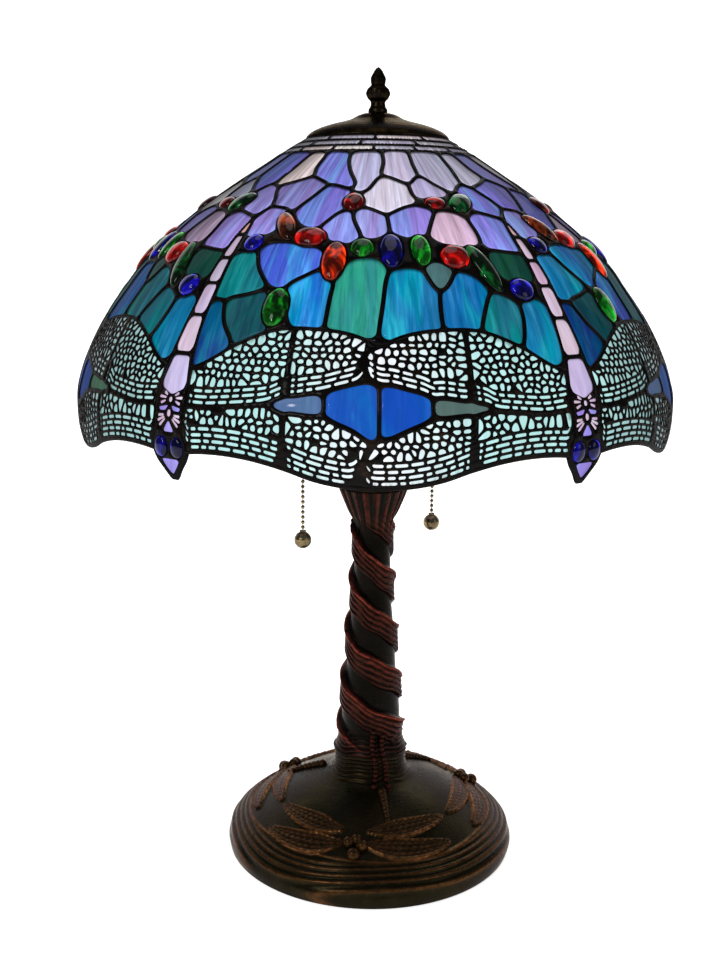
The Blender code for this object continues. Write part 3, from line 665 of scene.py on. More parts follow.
def glass_material(name, glow, side_shading, streak=0.8):
    """Opalescent glass lit from behind: its colour from the tint, streaks, a soft glow and a gloss."""
    material, nodes, links, shader = new_material(name)
    tint = add_node(nodes, "ShaderNodeVertexColor", layer_name="tint")
    flow = streak_noise(nodes, links, 7, 60, 4, 0.6, 0.6)
    light = ramp(nodes, links, flow, [(0.46, 0.0), (0.56, 0.5), (0.66, 1.0)])
    slow = streak_noise(nodes, links, 22, 70, 3, 0.5, 1.0)
    shift = ramp(nodes, links, slow, [(0.46, 0.0), (0.60, 1.0)])
    hue = add_node(nodes, "ShaderNodeHueSaturation", Hue=0.448, Saturation=1.05, Value=1.12)
    links.new(tint.outputs[0], hue.inputs["Color"])
    turned_hue = mixed(nodes, links, shift, tint.outputs[0], hue.outputs[0])
    bright = add_node(nodes, "ShaderNodeHueSaturation", Hue=0.492, Saturation=0.95, Value=1.55)
    links.new(turned_hue, bright.inputs["Color"])
    streaky = mixed(nodes, links, light, turned_hue, bright.outputs[0])
    cloud = streak_noise(nodes, links, 4.5, 34, 4, 0.6, 0.7)
    dark = ramp(nodes, links, cloud, [(0.36, 0.6), (0.56, 1.0)])
    deep = mixed(nodes, links, 1.0, streaky, dark, "MULTIPLY")
    colour = mixed(nodes, links, streak, tint.outputs[0], deep)
    dim = mixed(nodes, links, 1.0, colour, (0.10, 0.10, 0.10), "MULTIPLY")
    links.new(dim, shader.inputs["Base Color"])
    # painted shade: the painted glow of the bulbs through the glass is dimmed by a facing ramp towards the
    # dome's sides
    facing = add_node(nodes, "ShaderNodeLayerWeight", Blend=0.5)
    fade = ramp(nodes, links, facing.outputs["Facing"], side_shading)
    links.new(mixed(nodes, links, 1.0, colour, fade, "MULTIPLY"), shader.inputs["Emission Color"])
    shader.inputs["Emission Strength"].default_value = glow
    shader.inputs["Roughness"].default_value = 0.3
    shader.inputs["Specular IOR Level"].default_value = 0.0
    shader.inputs["Coat Weight"].default_value = 0.08
    shader.inputs["Coat Roughness"].default_value = 0.08
    bump(nodes, links, flow, 0.25, 0.0012, shader)
    return material


def jewel_material():
    """Pressed glass jewels: nearly black where thick, with bright patches of their colour glowing with
    painted light.
    """
    material, nodes, links, shader = new_material("jewel_glass")
    tint = add_node(nodes, "ShaderNodeVertexColor", layer_name="tint")
    cloud = object_noise(nodes, links, 85, 2, (1, 1, 0.5), 0.5, 1.4)
    depth = ramp(nodes, links, cloud, [(0.42, 0.03), (0.54, 0.35), (0.66, 1.7)])
    colour = mixed(nodes, links, 1.0, tint.outputs[0], depth, "MULTIPLY")
    dim = mixed(nodes, links, 1.0, tint.outputs[0], (0.04, 0.04, 0.04), "MULTIPLY")
    links.new(dim, shader.inputs["Base Color"])
    # painted light: the glow is brightest in a ring near each jewel's rim, as if bent out from the bulbs
    # behind
    facing = add_node(nodes, "ShaderNodeLayerWeight", Blend=0.5)
    fade = ramp(nodes, links, facing.outputs["Facing"], [(0.0, 0.55), (0.3, 0.4), (0.6, 1.2), (0.9, 0.12)])
    links.new(mixed(nodes, links, 1.0, colour, fade, "MULTIPLY"), shader.inputs["Emission Color"])
    shader.inputs["Emission Strength"].default_value = 1.3
    shader.inputs["Roughness"].default_value = 0.07
    shader.inputs["Specular IOR Level"].default_value = 0.22
    bump(nodes, links, cloud, 0.2, 0.001, shader)
    return material


def solder_material():
    material, nodes, links, shader = new_material("dark_solder")
    wide = object_noise(nodes, links, 60, 4, None, 0.6)
    colour = ramp(nodes, links, wide, [(0.40, (0.0025, 0.002, 0.002)), (0.62, (0.007, 0.005, 0.004)),
                                       (0.78, (0.035, 0.018, 0.011))])
    links.new(colour, shader.inputs["Base Color"])
    rough = ramp(nodes, links, object_noise(nodes, links, 240, 3), [(0.3, 0.30), (0.7, 0.52)])
    links.new(rough, shader.inputs["Roughness"])
    shader.inputs["Specular IOR Level"].default_value = 0.0
    shader.inputs["Coat Weight"].default_value = 0.12
    shader.inputs["Coat Roughness"].default_value = 0.22
    bump(nodes, links, object_noise(nodes, links, 420, 3), 0.35, 0.0006, shader)
    return material


def bronze_material(name, ridge, hollow, reach, patina):
    """Dark cast bronze. The tint's red is how much a spot is rubbed to copper, its green how low it lies."""
    material, nodes, links, shader = new_material(name)
    tint = add_node(nodes, "ShaderNodeVertexColor", layer_name="tint")
    parts = add_node(nodes, "ShaderNodeSeparateColor")
    links.new(tint.outputs[0], parts.inputs[0])
    patch = object_noise(nodes, links, 38, 4, None, 0.62, 0.6)
    base = ramp(nodes, links, patch, [(0.30, hollow), (0.62, tuple(c * 2.0 for c in hollow)),
                                      (0.80, patina)])
    grain = ramp(nodes, links, object_noise(nodes, links, 210, 4, None, 0.7), [(0.36, 0.25), (0.62, 1.0)])
    wear = add_node(nodes, "ShaderNodeMath", operation="MULTIPLY", use_clamp=True)
    links.new(parts.outputs[0], wear.inputs[0])
    links.new(grain, wear.inputs[1])
    strong = add_node(nodes, "ShaderNodeMath", operation="MULTIPLY", use_clamp=True)
    strong.inputs[1].default_value = reach
    links.new(wear.outputs[0], strong.inputs[0])
    worn = mixed(nodes, links, strong.outputs[0], base, ridge)
    colour = mixed(nodes, links, parts.outputs[1], worn, (0.003, 0.0025, 0.002))
    links.new(colour, shader.inputs["Base Color"])
    rough = ramp(nodes, links, object_noise(nodes, links, 130, 4, None, 0.6), [(0.3, 0.16), (0.7, 0.32)])
    links.new(rough, shader.inputs["Roughness"])
    shader.inputs["Metallic"].default_value = 0.6
    shader.inputs["Specular IOR Level"].default_value = 0.2
    shader.inputs["Specular Tint"].default_value = (0.42, 0.35, 0.26, 1)
    bump(nodes, links, object_noise(nodes, links, 520, 4, None, 0.65), 0.4, 0.0005, shader)
    return material


def metal_material(name, low, high, rough, metallic=1.0, scale=120, gloss=0.5, edge=(1, 1, 1)):
    """A plain metal whose colour and roughness wander a little."""
    material, nodes, links, shader = new_material(name)
    colour = ramp(nodes, links, object_noise(nodes, links, scale, 4, None, 0.6),
                  [(0.32, low), (0.66, high)])
    links.new(colour, shader.inputs["Base Color"])
    spread = ramp(nodes, links, object_noise(nodes, links, scale * 2.4, 3),
                  [(0.3, rough * 0.8), (0.7, rough * 1.25)])
    links.new(spread, shader.inputs["Roughness"])
    shader.inputs["Metallic"].default_value = metallic
    shader.inputs["Specular IOR Level"].default_value = gloss
    shader.inputs["Specular Tint"].default_value = (*edge, 1)
    bump(nodes, links, object_noise(nodes, links, scale * 5, 3), 0.2, 0.0004, shader)
    return material


def bulb_material():
    material, nodes, links, shader = new_material("lit_frosted_glass")
    warm = ramp(nodes, links, object_noise(nodes, links, 30, 2),
                [(0.3, (1.0, 0.76, 0.44)), (0.7, (1.0, 0.84, 0.56))])
    links.new(warm, shader.inputs["Emission Color"])
    shader.inputs["Base Color"].default_value = (0.10, 0.09, 0.07, 1)
    shader.inputs["Emission Strength"].default_value = 0.9
    shader.inputs["Roughness"].default_value = 0.4
    return material


# painted shade for the glass's painted glow: full where a face looks at the view, darker towards the dome's
# sides; the wings get a gentler ramp
PAINTED_SIDE_SHADE = [(0.0, 1.0), (0.25, 0.95), (0.5, 0.68), (0.70, 0.24), (0.9, 0.07)]
MOSAIC = glass_material("mosaic_opalescent", 0.95, PAINTED_SIDE_SHADE)
WING = glass_material("wing_opalescent", 1.0, [(0.0, 1.0), (0.3, 0.9), (0.6, 0.5), (0.9, 0.2)], 0.25)
BODY_GLASS = glass_material("dragonfly_opalescent", 0.95, PAINTED_SIDE_SHADE, 0.4)
JEWEL = jewel_material()
SOLDER = solder_material()
TRUNK_BRONZE = bronze_material(
    "trunk_bronze", (0.21, 0.036, 0.020), (0.0035, 0.003, 0.0025), 1.2, (0.022, 0.014, 0.008))
BASE_BRONZE = bronze_material(
    "base_bronze", (0.17, 0.066, 0.021), (0.009, 0.0072, 0.0030), 1.1, (0.030, 0.024, 0.008))
CAP_BRONZE = metal_material("cap_bronze", (0.006, 0.005, 0.003), (0.020, 0.015, 0.009), 0.3, 0.9, 120, 0.05,
                            (0.35, 0.30, 0.22))
ANTIQUE = metal_material("antique_brass", (0.10, 0.075, 0.04), (0.32, 0.24, 0.12), 0.26, 0.95)
SLOT_MATERIALS = {
    "bronze": CAP_BRONZE,
    "iron": metal_material("cast_iron", (0.05, 0.05, 0.055), (0.12, 0.12, 0.13), 0.7, 0.6),
    "felt": metal_material("green_felt", (0.012, 0.04, 0.02), (0.03, 0.08, 0.045), 0.95, 0.0, 300),
    "steel": metal_material("zinc_steel", (0.42, 0.43, 0.45), (0.62, 0.63, 0.65), 0.3),
    "brass": metal_material("satin_brass", (0.42, 0.30, 0.12), (0.62, 0.46, 0.20), 0.3),
    "antique_brass": ANTIQUE,
    "phenolic": metal_material("black_phenolic", (0.02, 0.02, 0.02), (0.045, 0.043, 0.04), 0.45, 0.0),
    "bulb_glass": bulb_material(),
}
NODE_SLOTS = {
    "base_ballast": "iron", "base_plate": "steel", "felt_pad": "felt", "cord_bushing": "phenolic",
    "rod_washer": "steel", "rod_nut": "steel", "lamp_pipe": "steel", "stem_cap": "bronze",
    "spacer_tube": "brass", "cluster_body": "brass", "cluster_cap": "brass", "riser_rod": "brass",
    "seat_nut": "brass", "seat_washer": "brass", "shade_ring": "brass", "finial_insert": "brass",
}
for _side in ("left", "right"):
    NODE_SLOTS.update({
        "nipple_" + _side: "steel", "socket_cap_" + _side: "brass", "socket_shell_" + _side: "brass",
        "socket_core_" + _side: "phenolic", "pull_bell_" + _side: "brass", "bulb_cap_" + _side: "brass",
        "bulb_glass_" + _side: "bulb_glass", "pull_link_" + _side: "antique_brass",
        "chain_coupler_" + _side: "antique_brass"})


def finish_cad_nodes():
    """The frame's own objects that stay in view get the same finishes."""
    for name, slot in NODE_SLOTS.items():
        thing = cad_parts[name]
        thing.data.materials.clear()
        thing.data.materials.append(SLOT_MATERIALS[slot])


# ---------------------------------------------------------------- the shade

def dragonfly_edge(side, low, high, step=1.6):
    """The edge of a dragonfly's body, centred on a sector's border, from low to high; side -1 or 1."""
    heights = np.linspace(low, high, max(2, int((high - low) / step)))
    return [(-side * HALF_SECTOR + side * half_angle(z), z) for z in heights]


def wing_corner(limit):
    """Where the wing panel's edge meets the dragonfly's body: (angle from the sector's middle, height)."""
    angle = HALF_SECTOR
    for _ in range(4):
        angle = HALF_SECTOR - half_angle(float(limit(angle)))
    return angle, float(limit(angle))


TOP_CORNER = wing_corner(wing_top)
BOTTOM_CORNER = wing_corner(wing_bottom)


def mosaic_domain():
    """The outline of one sector's mosaic panel."""
    border = resampled(to_plane(SECTOR_EDGE, HALF_SECTOR), 1.6, closed=False)
    right = [tuple(p) for p in from_plane(border, HALF_SECTOR)]
    left = [(a - SECTOR, z) for a, z in right[::-1]]
    top = [(a, CROWN_BOTTOM) for a in np.linspace(right[-1][0], left[0][0], 60)[1:-1]]
    down = dragonfly_edge(1, TOP_CORNER[1], TAIL_TOP)[::-1][1:]
    low = [(a, float(wing_top(a))) for a in np.linspace(-TOP_CORNER[0], TOP_CORNER[0], 90)[1:-1]]
    up = dragonfly_edge(-1, TOP_CORNER[1], TAIL_TOP)[:-1]
    return np.array(right + top + left + down + low + up)


def jewel_outline(centre, u, v, count, scale=1.0):
    """An ellipse on the shade from its centre and its two half-axes."""
    middle = to_plane([centre], centre[0])[0]
    spread = np.outer(np.cos(circle(count)), u) + np.outer(np.sin(circle(count)), v)
    return from_plane(anticlockwise(middle + scale * spread), centre[0])


def jewel(shape, centre, u, v, colour, turn, scale):
    """A domed pressed-glass jewel."""
    rise = 0.42 * scale * min(np.hypot(*u), np.hypot(*v)) + 0.8
    domed(shape, jewel_outline(centre, u, v, 32, 1.05 * scale), (1.0, 0.93, 0.80, 0.62, 0.42, 0.2),
          lambda share: rise * math.sqrt(max(0, 1 - share ** 2)) ** 0.9, (*JEWEL_COLOURS[colour], 1), turn)


def build_mosaic():
    border = mosaic_domain()
    gems = [jewel_outline(c, u, v, 40, JEWEL_SCALE) for _, c, u, v in JEWELS]
    holes = spread_out([tile_outline(points, grow=0, corners=1) for _, points in TILES], border, gems)
    tiles = [(colour, grown_outline(hole)) for (colour, _), hole in zip(TILES, holes)]
    net, faces = lead_net(border, holes + gems)
    glass, jewels, lead = Shape(), Shape(), Shape()
    for k in range(SECTORS):
        turn = SECTOR * k
        lead.add(turned(net, turn), faces)
        for colour, outline in tiles:
            pillow(glass, outline, glass_tint(sector_colour(colour, k)), turn, 0.45)
        for colour, c, u, v in JEWELS:
            jewel(jewels, c, u, v, colour, turn, JEWEL_SCALE)
    nodes = ["mosaic_panel_%d" % (k + 1) for k in range(SECTORS)]
    glass.make("mosaic_glass", MOSAIC, "shade", "mosaic_glass", nodes)
    jewels.make("jewels", JEWEL, "shade", "mosaic_glass", nodes)
    lead.make("mosaic_lead", SOLDER, "shade", "solder", nodes)


def clipped(polygon, point, normal):
    """A convex polygon cut to the side of the line that normal points away from."""
    out = []
    side = (polygon - point) @ normal
    for i in range(len(polygon)):
        a, b = polygon[i], polygon[(i + 1) % len(polygon)]
        if side[i] <= 0:
            out.append(a)
        if (side[i] <= 0) != (side[(i + 1) % len(polygon)] <= 0):
            t = side[i] / (side[i] - side[(i + 1) % len(polygon)])
            out.append(a + (b - a) * t)
    return np.array(out)


def span_at(outline, x):
    """Lowest and highest point of an outline at x."""
    a, b = outline, np.roll(outline, -1, 0)
    hit = (a[:, 0] > x) != (b[:, 0] > x)
    if not hit.any():
        return None
    y = a[hit, 1] + (x - a[hit, 0]) / (b[hit, 0] - a[hit, 0]) * (b[hit, 1] - a[hit, 1])
    return y.min(), y.max()


STEEP = 0.75  # rise over run of a pane's lower edge past which it carries no rows of bricks


def brick_rows(outline, rows, pitch, line, rng):
    """Rounded bricks in rows that follow a pane's lower edge."""
    low, high = outline[:, 0].min() + 1.0, outline[:, 0].max() - 1.0
    bricks = []
    for row in range(rows):
        x = low + rng.uniform(0, 4)
        x0 = low
        while x0 < high - 1.5:
            x1 = min(x0 + rng.uniform(5.0, 12.0) if x0 > low else x, high)
            if x1 - x0 < 2.4:
                x1 = min(x0 + 4, high)
            stops = np.linspace(x0 + line / 2, x1 - line / 2, 4)
            spans = [span_at(outline, v) for v in stops]
            if x1 - x0 > line + 1.2 and all(spans):
                lean = rng.uniform(-0.5, 0.5)
                base = [s[0] + 0.5 + row * pitch for s in spans]
                top = [b + pitch - line for b in base]
                brick = np.array(list(zip(stops - lean / 2, base)) + list(zip(stops + lean / 2, top))[::-1])
                flat = np.ptp(base) < STEEP * (x1 - x0)
                if flat and all(t < s[1] - 0.5 for t, s in zip(top, spans)) and inside(brick, outline).all():
                    bricks.append(brick)
            x0 = x1
    return bricks


def above_rows(outline, lift):
    """The part of a pane over its rows of bricks, down to its edge where that is too steep for them."""
    pitch = 0.8
    stops = np.arange(outline[:, 0].min() + 0.3, outline[:, 0].max() - 0.2, pitch)
    spans = [(x, span_at(outline, x)) for x in stops]
    spans = [(x, s[0], s[1]) for x, s in spans if s]
    slope = np.abs(np.gradient([low for _, low, _ in spans], pitch))
    spans = [(x, low + (0.6 if steep > STEEP else lift), high) for (x, low, high), steep in zip(spans, slope)]
    spans = [(x, low, high) for x, low, high in spans if high - low > 1.6]
    if len(spans) < 6:
        return None
    return anticlockwise(resampled([(x, a) for x, a, _ in spans] + [(x, b) for x, _, b in spans[::-1]], 1.2))


def mesh_seeds(outline, rng, long=5.6, pitch=4.4):
    """Middles of the net's cells: rows of points, shaken."""
    low, high = outline.min(0), outline.max(0)
    seeds = []
    for row, y in enumerate(np.arange(low[1] + 1.6, high[1], pitch)):
        x = low[0] + (0.5 * long if row % 2 else 0.0) + rng.uniform(-1.5, 1.5)
        while x < high[0]:
            seeds.append((x, y + rng.uniform(-0.32, 0.32) * pitch))
            x += long * rng.uniform(0.66, 1.3)
    seeds = np.array(seeds)
    return seeds[inside(seeds, outline)]


def net_cells(outline, centre, rng, line=1.85):
    """Rounded meshes of the net over one pane, as (angle, height) outlines."""
    rows, pitch = (4, 3.9) if height_of(outline[:, 1].mean()) < WAIST else (3, 3.7)
    cells = [from_plane(resampled(rounded(anticlockwise(b), 2, 0.22), 1.1), centre)
             for b in brick_rows(outline, rows, pitch, line, rng)]
    p = above_rows(outline, rows * pitch + 0.1)
    if p is None:
        return cells
    seeds = mesh_seeds(p, rng)
    seeds = seeds[distances(seeds, p) > 1.1]
    normals = outward(p)
    for seed in seeds:
        cell = seed + np.array([(-9, -5), (9, -5), (9, 5), (-9, 5)], float)
        away = seeds - seed
        reach = np.hypot(*away.T)
        for j in np.argsort(reach)[1:26]:
            if reach[j] > 18:
                break
            normal = away[j] / reach[j]
            cell = clipped(cell, seed + away[j] / 2 - normal * line / 2, normal)
            if len(cell) < 3:
                break
        edge = p - seed
        far = np.hypot(*edge.T)
        for j in np.where(far < 10)[0]:
            facing = edge[j] @ normals[j]
            if len(cell) > 2 and facing > 0 and (far[j] < 6 or facing > far[j] * 0.8):
                cell = clipped(cell, p[j] - normals[j] * 0.45, normals[j])
        if len(cell) < 3 or abs(area(cell)) < max(2.4, 1.35 * np.ptp(cell, 0).max()):
            continue
        middle = cell.mean(0)
        if not inside(cell * 0.94 + middle * 0.06, outline).all():
            cell = middle + (cell - middle) * 0.6
            if not inside(cell, outline).all():
                continue
        cells.append(from_plane(resampled(rounded(anticlockwise(cell), 2, 0.24), 1.1), centre))
    return cells


def split_wing(points, centre):
    """A wing's outline in the plane, cut into the pane by the body and the pane at the tip."""
    line = WING_SPLIT if centre > 0 else -WING_SPLIT
    dense = from_plane(resampled(rounded(anticlockwise(to_plane(points, centre)), 2), 1.5), centre)
    panes = []
    for side in (-1, 1):
        keep = dense[(dense[:, 0] - line) * side > 0.35]
        # start the run after the biggest jump so that the cut closes straight
        jump = np.argmax(np.hypot(*(np.roll(to_plane(keep, centre), -1, 0) - to_plane(keep, centre)).T))
        keep = np.roll(keep, -(jump + 1), 0)
        panes.append(to_plane(keep, centre))
    return panes


def wing_domain():
    """The outline of one sector's wing panel."""
    low = [(a, float(wing_bottom(a))) for a in np.linspace(-BOTTOM_CORNER[0], BOTTOM_CORNER[0], 110)]
    right = dragonfly_edge(-1, BOTTOM_CORNER[1], TOP_CORNER[1])[1:-1]
    top = [(a, float(wing_top(a))) for a in np.linspace(TOP_CORNER[0], -TOP_CORNER[0], 110)]
    left = dragonfly_edge(1, BOTTOM_CORNER[1], TOP_CORNER[1])[::-1][1:-1]
    return np.array(low + right + top + left)


def build_wings():
    rng = np.random.default_rng(21)
    border = wing_domain()
    shapes = []
    for name, points in WINGS.items():
        centre = -WING_MIDDLE if name.endswith("left") else WING_MIDDLE
        for pane in split_wing(points, centre):
            shapes.append(from_plane(anticlockwise(resampled(pane, 1.4)), centre))
    shapes += [tile_outline(points, grow=0, corners=1) for _, points in BACKGROUND]
    shapes = spread_out(shapes, border, gap=2.9, margin=1.3, rounds=5, copies=(0,))
    panes, cells = shapes[:-len(BACKGROUND)], []
    for pane in panes:
        centre = pane[:, 0].mean()
        cells += net_cells(anticlockwise(to_plane(pane, centre)), centre, rng)
    panes = [grown_outline(pane, 0.3) for pane in panes]
    ground_holes = shapes[-len(BACKGROUND):]
    grounds = [(colour, grown_outline(hole, 0.5)) for (colour, _), hole in zip(BACKGROUND, ground_holes)]
    net, faces = lead_net(border, cells + ground_holes, bead=0.6, edge=0.3, crest=0.85, spacing=0.5)
    for k in range(SECTORS):
        lead = Shape()
        lead.add(turned(net, SECTOR * k), faces)
        lead.make("wing_lead_%d" % (k + 1), SOLDER, "shade", "solder", ["wing_panel_%d" % (k + 1)])
    glass = Shape()
    for k in range(SECTORS):
        for pane in panes:
            sheet_of_glass(glass, pane, SECTOR * k)
        for colour, outline in grounds:
            pillow(glass, outline, glass_tint(colour), SECTOR * k, 0.3)
    glass.make("wing_glass", WING, "shade", "wing_glass", ["wing_panel_%d" % (k + 1) for k in range(SECTORS)])


# painted light: the wing glass is tinted white towards each sector's middle for the bulbs' glow through it;
# cool is its colour at the sides
WING_COOL, WING_LIT_WHITE = np.array([0.50, 0.83, 0.84]), np.array([0.93, 0.95, 1.0])
LIT_WHITE_REACH = 17  # degrees from a sector's middle over which the wings' glass goes from a painted white glow to its cool colour


def sheet_of_glass(shape, outline, turn, lift=0.12, depth=2.6, pitch=5.0):
    """A pane of wing glass that follows the dome: triangulated with points over its whole area."""
    centre = outline[:, 0].mean()
    plane = to_plane(outline, centre)
    low, high = plane.min(0), plane.max(0)
    gx, gy = np.meshgrid(np.arange(low[0], high[0], pitch), np.arange(low[1], high[1], pitch))
    spots = np.stack([gx.ravel(), gy.ravel()], -1)
    spots = spots[inside(spots, plane)]
    spots = spots[distances(spots, plane) > 2]
    points = [Vector(map(float, p)) for p in np.vstack([plane, spots])]
    verts, _, faces, _, _, _ = delaunay_2d_cdt(points, [], [list(range(len(plane)))], 1, 1e-6, True)
    place = from_plane(np.array([tuple(v) for v in verts]), centre)
    # painted light: whiter towards the sector's middle
    near = np.clip(1 - np.abs(place[:, 0]) / LIT_WHITE_REACH, 0, 1)[:, None]
    colour = (WING_COOL * (1 - near) + WING_LIT_WHITE * near) * (1 + random.uniform(-0.05, 0.03))
    tint = np.hstack([colour, np.full((len(place), 1), 0.5)])
    verts, faces = slab(place, faces, lift, lift - depth)
    shape.add(turned(verts, turn), faces, np.vstack([tint, tint]))


# the dragonfly in (millimetres across, height) about its middle line
TAIL_JOINTS = [429.4, 453, 473, 489, 504, 512.6]


def across(points):
    """(millimetres across, height) to (angle, height)."""
    return np.array([(math.degrees(x / float(shade_radius(z))), z) for x, z in points])


def spoke(centre, angle, start, end, half):
    """A small dash pointing away from a centre, in millimetres; angle in degrees from straight up."""
    a = math.radians(angle)
    along, side = np.array([math.sin(a), math.cos(a)]), np.array([math.cos(a), -math.sin(a)])
    c = np.array(centre, float)
    wide = half * 1.25
    return [tuple(c + along * start - side * half * 0.7), tuple(c + along * start + side * half * 0.7),
            tuple(c + along * end + side * wide), tuple(c + along * end - side * wide)]


def oval(height, wide, tall):
    return [(wide * math.cos(t), height + tall * math.sin(t)) for t in circle(14)]


def dragonfly_parts():
    """The glass of one dragonfly's body, from its tail down: (colour, outline)."""
    parts = []
    for low, high in zip(TAIL_JOINTS[:-1], TAIL_JOINTS[1:]):
        a, b = low + 1.0, high - 1.0
        wide_low, wide_high = float(dragonfly_half(a)) - 1.3, max(float(dragonfly_half(b)) - 1.3, 0.7)
        parts.append(("peach" if low > 500 else "mauve",
                      [(-wide_low, a), (wide_low, a), (wide_high, b), (-wide_high, b)]))
    parts.append(("pale", [(-6.6, 427.6), (6.6, 427.6), (8.4, 420), (10.2, 411.5), (9.2, 407.6), (0, 403.2),
                            (-9.2, 407.6), (-10.2, 411.5), (-8.4, 420)]))
    parts.append(("mauve", oval(400.2, 1.5, 1.7)))
    parts.append(("mauve", oval(391.6, 1.6, 2.3)))
    for side in (-1, 1):
        for angle, start, end in ((60, 3.4, 7.4), (86, 4.0, 10.0), (112, 4.4, 9.2)):
            parts.append(("mauve", spoke((0, 401.0), side * angle, start, end, 0.75)))
        parts.append(("lilac", [(side * 1.2, 396.6), (side * 9.6, 394.9), (side * 8.0, 392.9),
                                (side * 3.4, 393.4)]))
        for angle, start, end in ((98, 4.2, 9.6), (116, 4.0, 11.0), (134, 4.0, 11.4)):
            parts.append(("mauve", spoke((0, 391.0), side * angle, start, end, 0.75)))
    parts.append(("lilac", [(-4.9, 379.6), (4.9, 379.6), (0, 387.4)]))
    parts.append(("lilac", [(-8.0, 361.6), (8.0, 361.6), (4.4, 356.0), (0.6, 351.6), (-0.6, 351.6),
                            (-4.4, 356.0)]))
    return parts


EYES = [(-6.9, 369.6), (6.9, 369.6)]
EYE_AXES = (5.3, 0), (0, 6.8)


def dragonfly_domain():
    heights = np.linspace(HEAD_TIP, TAIL_TOP, 104)
    right = [(float(dragonfly_half(z)), z) for z in heights]
    left = [(-x, z) for x, z in right[::-1]]
    return across(right + left)


def build_dragonflies():
    parts = dragonfly_parts()
    holes = [tile_outline(across(points), step=0.9, grow=0, corners=2) for _, points in parts]
    eyes = across(EYES)
    holes += [jewel_outline(eye, *EYE_AXES, 30) for eye in eyes]
    net, faces = lead_net(dragonfly_domain(), holes, bead=0.5, crest=0.9, spacing=0.4)
    glass, jewels, lead = Shape(), Shape(), Shape()
    for k in range(SECTORS):
        turn = SECTOR * k + HALF_SECTOR
        lead.add(turned(net, turn), faces)
        for colour, points in parts:
            outline = tile_outline(across(points), step=0.9, grow=0.35)
            pillow(glass, outline, glass_tint(colour), turn, 0.4)
        for eye in eyes:
            jewel(jewels, eye, *EYE_AXES, "cobalt", turn, 1.0)
    nodes = ["dragonfly_%d" % (k + 1) for k in range(SECTORS)]
    glass.make("dragonfly_glass", BODY_GLASS, "shade", "dragonfly_glass", nodes)
    jewels.make("dragonfly_eyes", JEWEL, "shade", "dragonfly_glass", nodes)
    lead.make("dragonfly_lead", SOLDER, "shade", "solder", nodes)


RIM_RADIUS, RIM_IN, RIM_DOWN = 2.1, 1.3, 0.4  # the wire's radius, and how far its middle is in and down


def build_rim():
    """A round lead wire along the scalloped lower edge, down round each dragonfly's head."""
    path = []
    stops = np.linspace(-BOTTOM_CORNER[0], BOTTOM_CORNER[0], 90)
    heights = np.linspace(BOTTOM_CORNER[1], HEAD_TIP, 16)[1:]
    for turn in SECTOR * np.arange(SECTORS):
        path += [(a + turn, float(wing_bottom(a)) - RIM_DOWN) for a in stops]
        path += [(HALF_SECTOR + turn - half_angle(z), z - RIM_DOWN) for z in heights]
        path += [(HALF_SECTOR + turn + half_angle(z), z - RIM_DOWN) for z in heights[::-1]]
    angles, heights = np.array(path).T
    heights = np.maximum(heights, HEAD_TIP - 1)
    spots = on_shade(angles, heights, -RIM_IN)
    along = np.roll(spots, -1, 0) - np.roll(spots, 1, 0)
    along /= np.linalg.norm(along, axis=1)[:, None]
    side = np.cross(along, on_shade(angles, heights, 0.0) - spots)
    side /= np.linalg.norm(side, axis=1)[:, None]
    out = np.cross(side, along)
    turn = circle(12)
    rings = (spots[:, None] + RIM_RADIUS * (np.cos(turn)[None, :, None] * out[:, None]
                                            + np.sin(turn)[None, :, None] * side[:, None]))
    shape = Shape()
    shape.add(rings.reshape(-1, 3), wrapped_faces(*rings.shape[:2]))
    shape.make("rim_wire", SOLDER, "shade", "solder", ["shade_rim"])


def build_crown():
    """Three rows of small bricks under the cap."""
    glass, lead = Shape(), Shape()
    rows = [(CROWN_TOP, CROWN_ROWS[0], 10, -2.4), (CROWN_ROWS[0], CROWN_ROWS[1], 10, -11.5),
            (CROWN_ROWS[1], CROWN_BOTTOM, 15, -2.9)]
    for high, low, count, first in rows:
        wide = 360 / count
        half = wide / 2
        along = np.linspace(-half, half, 18)
        domain = [(a, low) for a in along] + [(a, high) for a in along[::-1]]
        radius = float(shade_radius((low + high) / 2))
        inset = math.degrees(1.3 / radius)
        brick = [(a, low + 0.75) for a in np.linspace(-half + inset, half - inset, 8)]
        brick += [(a, high - 0.75) for a in np.linspace(half - inset, -half + inset, 8)]
        hole = tile_outline(brick, step=1.3, grow=0, corners=1)
        under = tile_outline(brick, step=1.3, grow=0.5, corners=1)
        net, faces = lead_net(domain, [hole], bead=0.7, crest=0.9, spacing=0.5)
        for i in range(count):
            turn = first + half + wide * i
            lead.add(turned(net, turn), faces)
            colour = "cream" if random.uniform() < 0.25 else "brick"
            brick_of_glass(glass, under, glass_tint(colour), turn)
    glass.make("crown_glass", MOSAIC, "shade", "crown_glass", ["crown_bricks"])
    lead.make("crown_lead", SOLDER, "shade", "solder", ["crown_bricks"])


def brick_of_glass(shape, outline, tint, turn):
    """A long thin brick that bends round the ring: rows of points along it, joined round its section."""
    stops = np.linspace(outline[:, 0].min(), outline[:, 0].max(), 14)
    near = [outline[np.abs(outline[:, 0] - a) < 2.6][:, 1] for a in stops]
    low, high = np.array([z.min() for z in near]), np.array([z.max() for z in near])
    shares = (0.0, 0.2, 0.5, 0.8, 1.0)
    heights = [low * (1 - share) + high * share for share in shares]
    rows = [on_shade(stops, z, 0.5 * math.sin(math.pi * share)) for z, share in zip(heights, shares)]
    rows += [on_shade(stops, z, -GLASS_DEPTH) for z in reversed(heights)]
    total, count = len(rows), len(stops)
    faces = []
    for i in range(total):
        a, b = i * count, (i + 1) % total * count
        faces += [(a + j, a + j + 1, b + j + 1, b + j) for j in range(count - 1)]
    faces.append(tuple(i * count for i in range(total)))
    faces.append(tuple(i * count + count - 1 for i in reversed(range(total))))
    shape.add(turned(np.vstack(rows), turn), faces, tint)


# ---------------------------------------------------------------- cap and finial

